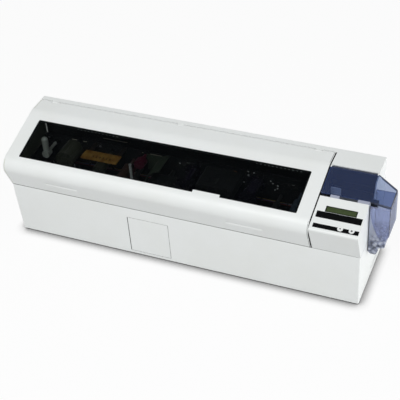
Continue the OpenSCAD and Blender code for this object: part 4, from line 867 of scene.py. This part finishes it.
def board_parts():
    """Main board: chips with legs, two rows of small parts and the pins of four connectors."""
    bm = bmesh.new()
    cream, black, solder = 1, 2, 3  # places in the list of materials below
    leg_pitch = 1.6
    for x0, x1, y0, y1, z in ((540, 568, 84, 112, 17.5), (580, 604, 84, 98, 17.5)):
        for k in range(int((x1 - x0 - 4) / leg_pitch)):
            x = x0 + 2.4 + k * leg_pitch
            for low, high in ((y0 - 1.6, y0 + 0.2), (y1 - 0.2, y1 + 1.6)):
                slab(bm, (x, low, BOARD_TOP_Z), (x + 0.7, high, BOARD_TOP_Z + 0.9), solder, 0.1)
        slab(bm, (x0 + 0.3, y0 + 0.3, z), (x1 - 0.3, y1 - 0.3, z + 0.9), black, 0.4)
    for row, y in enumerate((117, 121.5)):
        for k in range(11):
            x = 486 + k * 17.5
            kind = cream if (row * 11 + k) % 3 else black
            slab(bm, (x, y, BOARD_TOP_Z), (x + 3.2, y + 1.7, BOARD_TOP_Z + 1.1), kind, 0.25)
    for i, k in product(range(4), range(6)):
        x = 580.5 + i * 22 + k * 2.3
        slab(bm, (x, 131.5, 24), (x + 0.6, 132.1, 26.5), solder, 0.1)
    mats = ["circuit_green", "connector_cream", "chip_black", "solder"]
    add_mesh("board_parts", bm, mats, smooth=False)


board_parts()


def slope_plate(bm, x0, x1, s0, s1, n0, n1):
    """A plate parallel to the slope, from n0 to n1 out of it."""
    quad = [(x0, s0), (x1, s0), (x1, s1), (x0, s1)]
    low = [bm.verts.new(on_slope(x, s, n0)) for x, s in quad]
    high = [bm.verts.new(on_slope(x, s, n1)) for x, s in quad]
    bm.faces.new(high)
    bm.faces.new(low[::-1])
    for i in range(4):
        bm.faces.new((low[i - 1], low[i], high[i], high[i - 1]))


def lcd_bezel():
    """Dark lip round the recessed glass of the display."""
    gap, tall, wide = 0.2, 1.6, 2.2
    (x0, x1), (s0, s1) = DISPLAY_X, DISPLAY_S
    bars = ((x0 + gap, x1 - gap, s0 + gap, s0 + tall),
            (x0 + gap, x1 - gap, s1 - tall, s1 - gap),
            (x0 + gap, x0 + wide, s0 + tall, s1 - tall),
            (x1 - wide, x1 - gap, s0 + tall, s1 - tall))
    bm = bmesh.new()
    for bar in bars:
        slope_plate(bm, *bar, -0.9, -0.45)
    add_mesh("lcd_bezel", bm, ["label_black"], smooth=False)


lcd_bezel()

# Dark pads in the dimples of the two keys
KEYS = (("left_key_pad", 827, 1.7, "left_key"), ("right_key_pad", 852, 2.1, "right_key"))
for name, x, r, body in KEYS:
    bm = bmesh.new()
    lathe(bm, on_slope(x, KEY_S, 0.9), SLOPE_OUT,
          [(r, -0.05), (r, 0.12), (r * 0.86, 0.24), (r * 0.4, 0.28)], steps=40)
    add_mesh(name, bm, ["label_black"], body)

# ---------------------------------------------------------------- floor and light
# What the camera sees of the floor is mostly a white glow that darkens in the contact shadow
FLOOR_SIZE, FLOOR_GREY, GLOW_SHARE = 6.0, (0.72, 0.72, 0.72), 0.93
SHADOW_REACH = 0.028
SHADOW_TONE = {"From Min": 0.38, "From Max": 0.94, "To Min": 0.06, "To Max": 1.0}
ROOM_TONE, ROOM_LIGHT, ROOM_SEEN = (0.97, 0.985, 1.0), 0.385, 1.0


def seen_ray(nodes, links):
    """1 for what the camera sees, also mirrored and through clear plastic."""
    path = nodes.new("ShaderNodeLightPath")
    total = path.outputs["Is Camera Ray"]
    for key in ("Is Glossy Ray", "Is Transmission Ray"):
        add = nodes.new("ShaderNodeMath")
        add.operation = "MAXIMUM"
        links.new(total, add.inputs[0])
        links.new(path.outputs[key], add.inputs[1])
        total = add.outputs[0]
    return total


def make_stage():
    """The floor: plain grey to the light, and to the camera a glow with the contact shadow."""
    mesh = bpy.data.meshes.new("floor")
    bm = bmesh.new()
    bmesh.ops.create_grid(bm, x_segments=2, y_segments=2, size=FLOOR_SIZE)
    bm.to_mesh(mesh)
    bm.free()
    floor = bpy.data.objects.new("floor", mesh)
    LINK(floor)
    floor.location.z = -0.0002
    mat = bpy.data.materials.new("floor")
    mat.use_nodes = True
    nodes, links = mat.node_tree.nodes, mat.node_tree.links
    nodes.clear()
    out = nodes.new("ShaderNodeOutputMaterial")
    mix = nodes.new("ShaderNodeMixShader")
    diffuse = nodes.new("ShaderNodeBsdfDiffuse")
    diffuse.inputs["Color"].default_value = (*FLOOR_GREY, 1)
    glow = nodes.new("ShaderNodeEmission")
    glow.inputs["Color"].default_value = (1, 1, 1, 1)
    shade = nodes.new("ShaderNodeAmbientOcclusion")
    shade.samples = 8
    shade.inputs["Distance"].default_value = SHADOW_REACH
    tone = nodes.new("ShaderNodeMapRange")
    for key, value in SHADOW_TONE.items():
        tone.inputs[key].default_value = value
    links.new(shade.outputs["AO"], tone.inputs["Value"])
    links.new(tone.outputs["Result"], glow.inputs["Strength"])
    share = nodes.new("ShaderNodeMath")
    share.operation = "MULTIPLY"
    share.inputs[1].default_value = GLOW_SHARE
    links.new(seen_ray(nodes, links), share.inputs[0])
    for i, socket in enumerate((share.outputs[0], diffuse.outputs[0], glow.outputs[0])):
        links.new(socket, mix.inputs[i])
    links.new(mix.outputs[0], out.inputs["Surface"])
    mesh.materials.append(mat)


def make_world():
    """A pale room: soft light on the object, white to the camera."""
    world = bpy.data.worlds.new("world")
    bpy.context.scene.world = world
    world.use_nodes = True
    nodes, links = world.node_tree.nodes, world.node_tree.links
    back = nodes["Background"]
    back.inputs["Color"].default_value = (*ROOM_TONE, 1)
    level = nodes.new("ShaderNodeMapRange")
    level.inputs["To Min"].default_value = ROOM_LIGHT
    level.inputs["To Max"].default_value = ROOM_SEEN
    links.new(seen_ray(nodes, links), level.inputs["Value"])
    links.new(level.outputs["Result"], back.inputs["Strength"])


def area(name, place, target, size, power):
    """A rectangular soft light at a place, turned to a target (metres, watts)."""
    data = bpy.data.lights.new(name, "AREA")
    data.shape = "RECTANGLE"
    data.size, data.size_y = size
    data.energy = power
    lamp = bpy.data.objects.new(name, data)
    LINK(lamp)
    lamp.location = place
    lamp.rotation_euler = (Vector(target) - Vector(place)).to_track_quat("-Z", "Y").to_euler()


make_stage()
make_world()
area("key", (-0.05, -1.85, 2.5), (0, 0, 0.15), (1.6, 1.2), 56)
area("side_right", (3.0, 0.3, 0.5), (0.41, 0, 0.15), (1.0, 1.0), 46)

bpy.context.scene.view_settings.view_transform = "Standard"
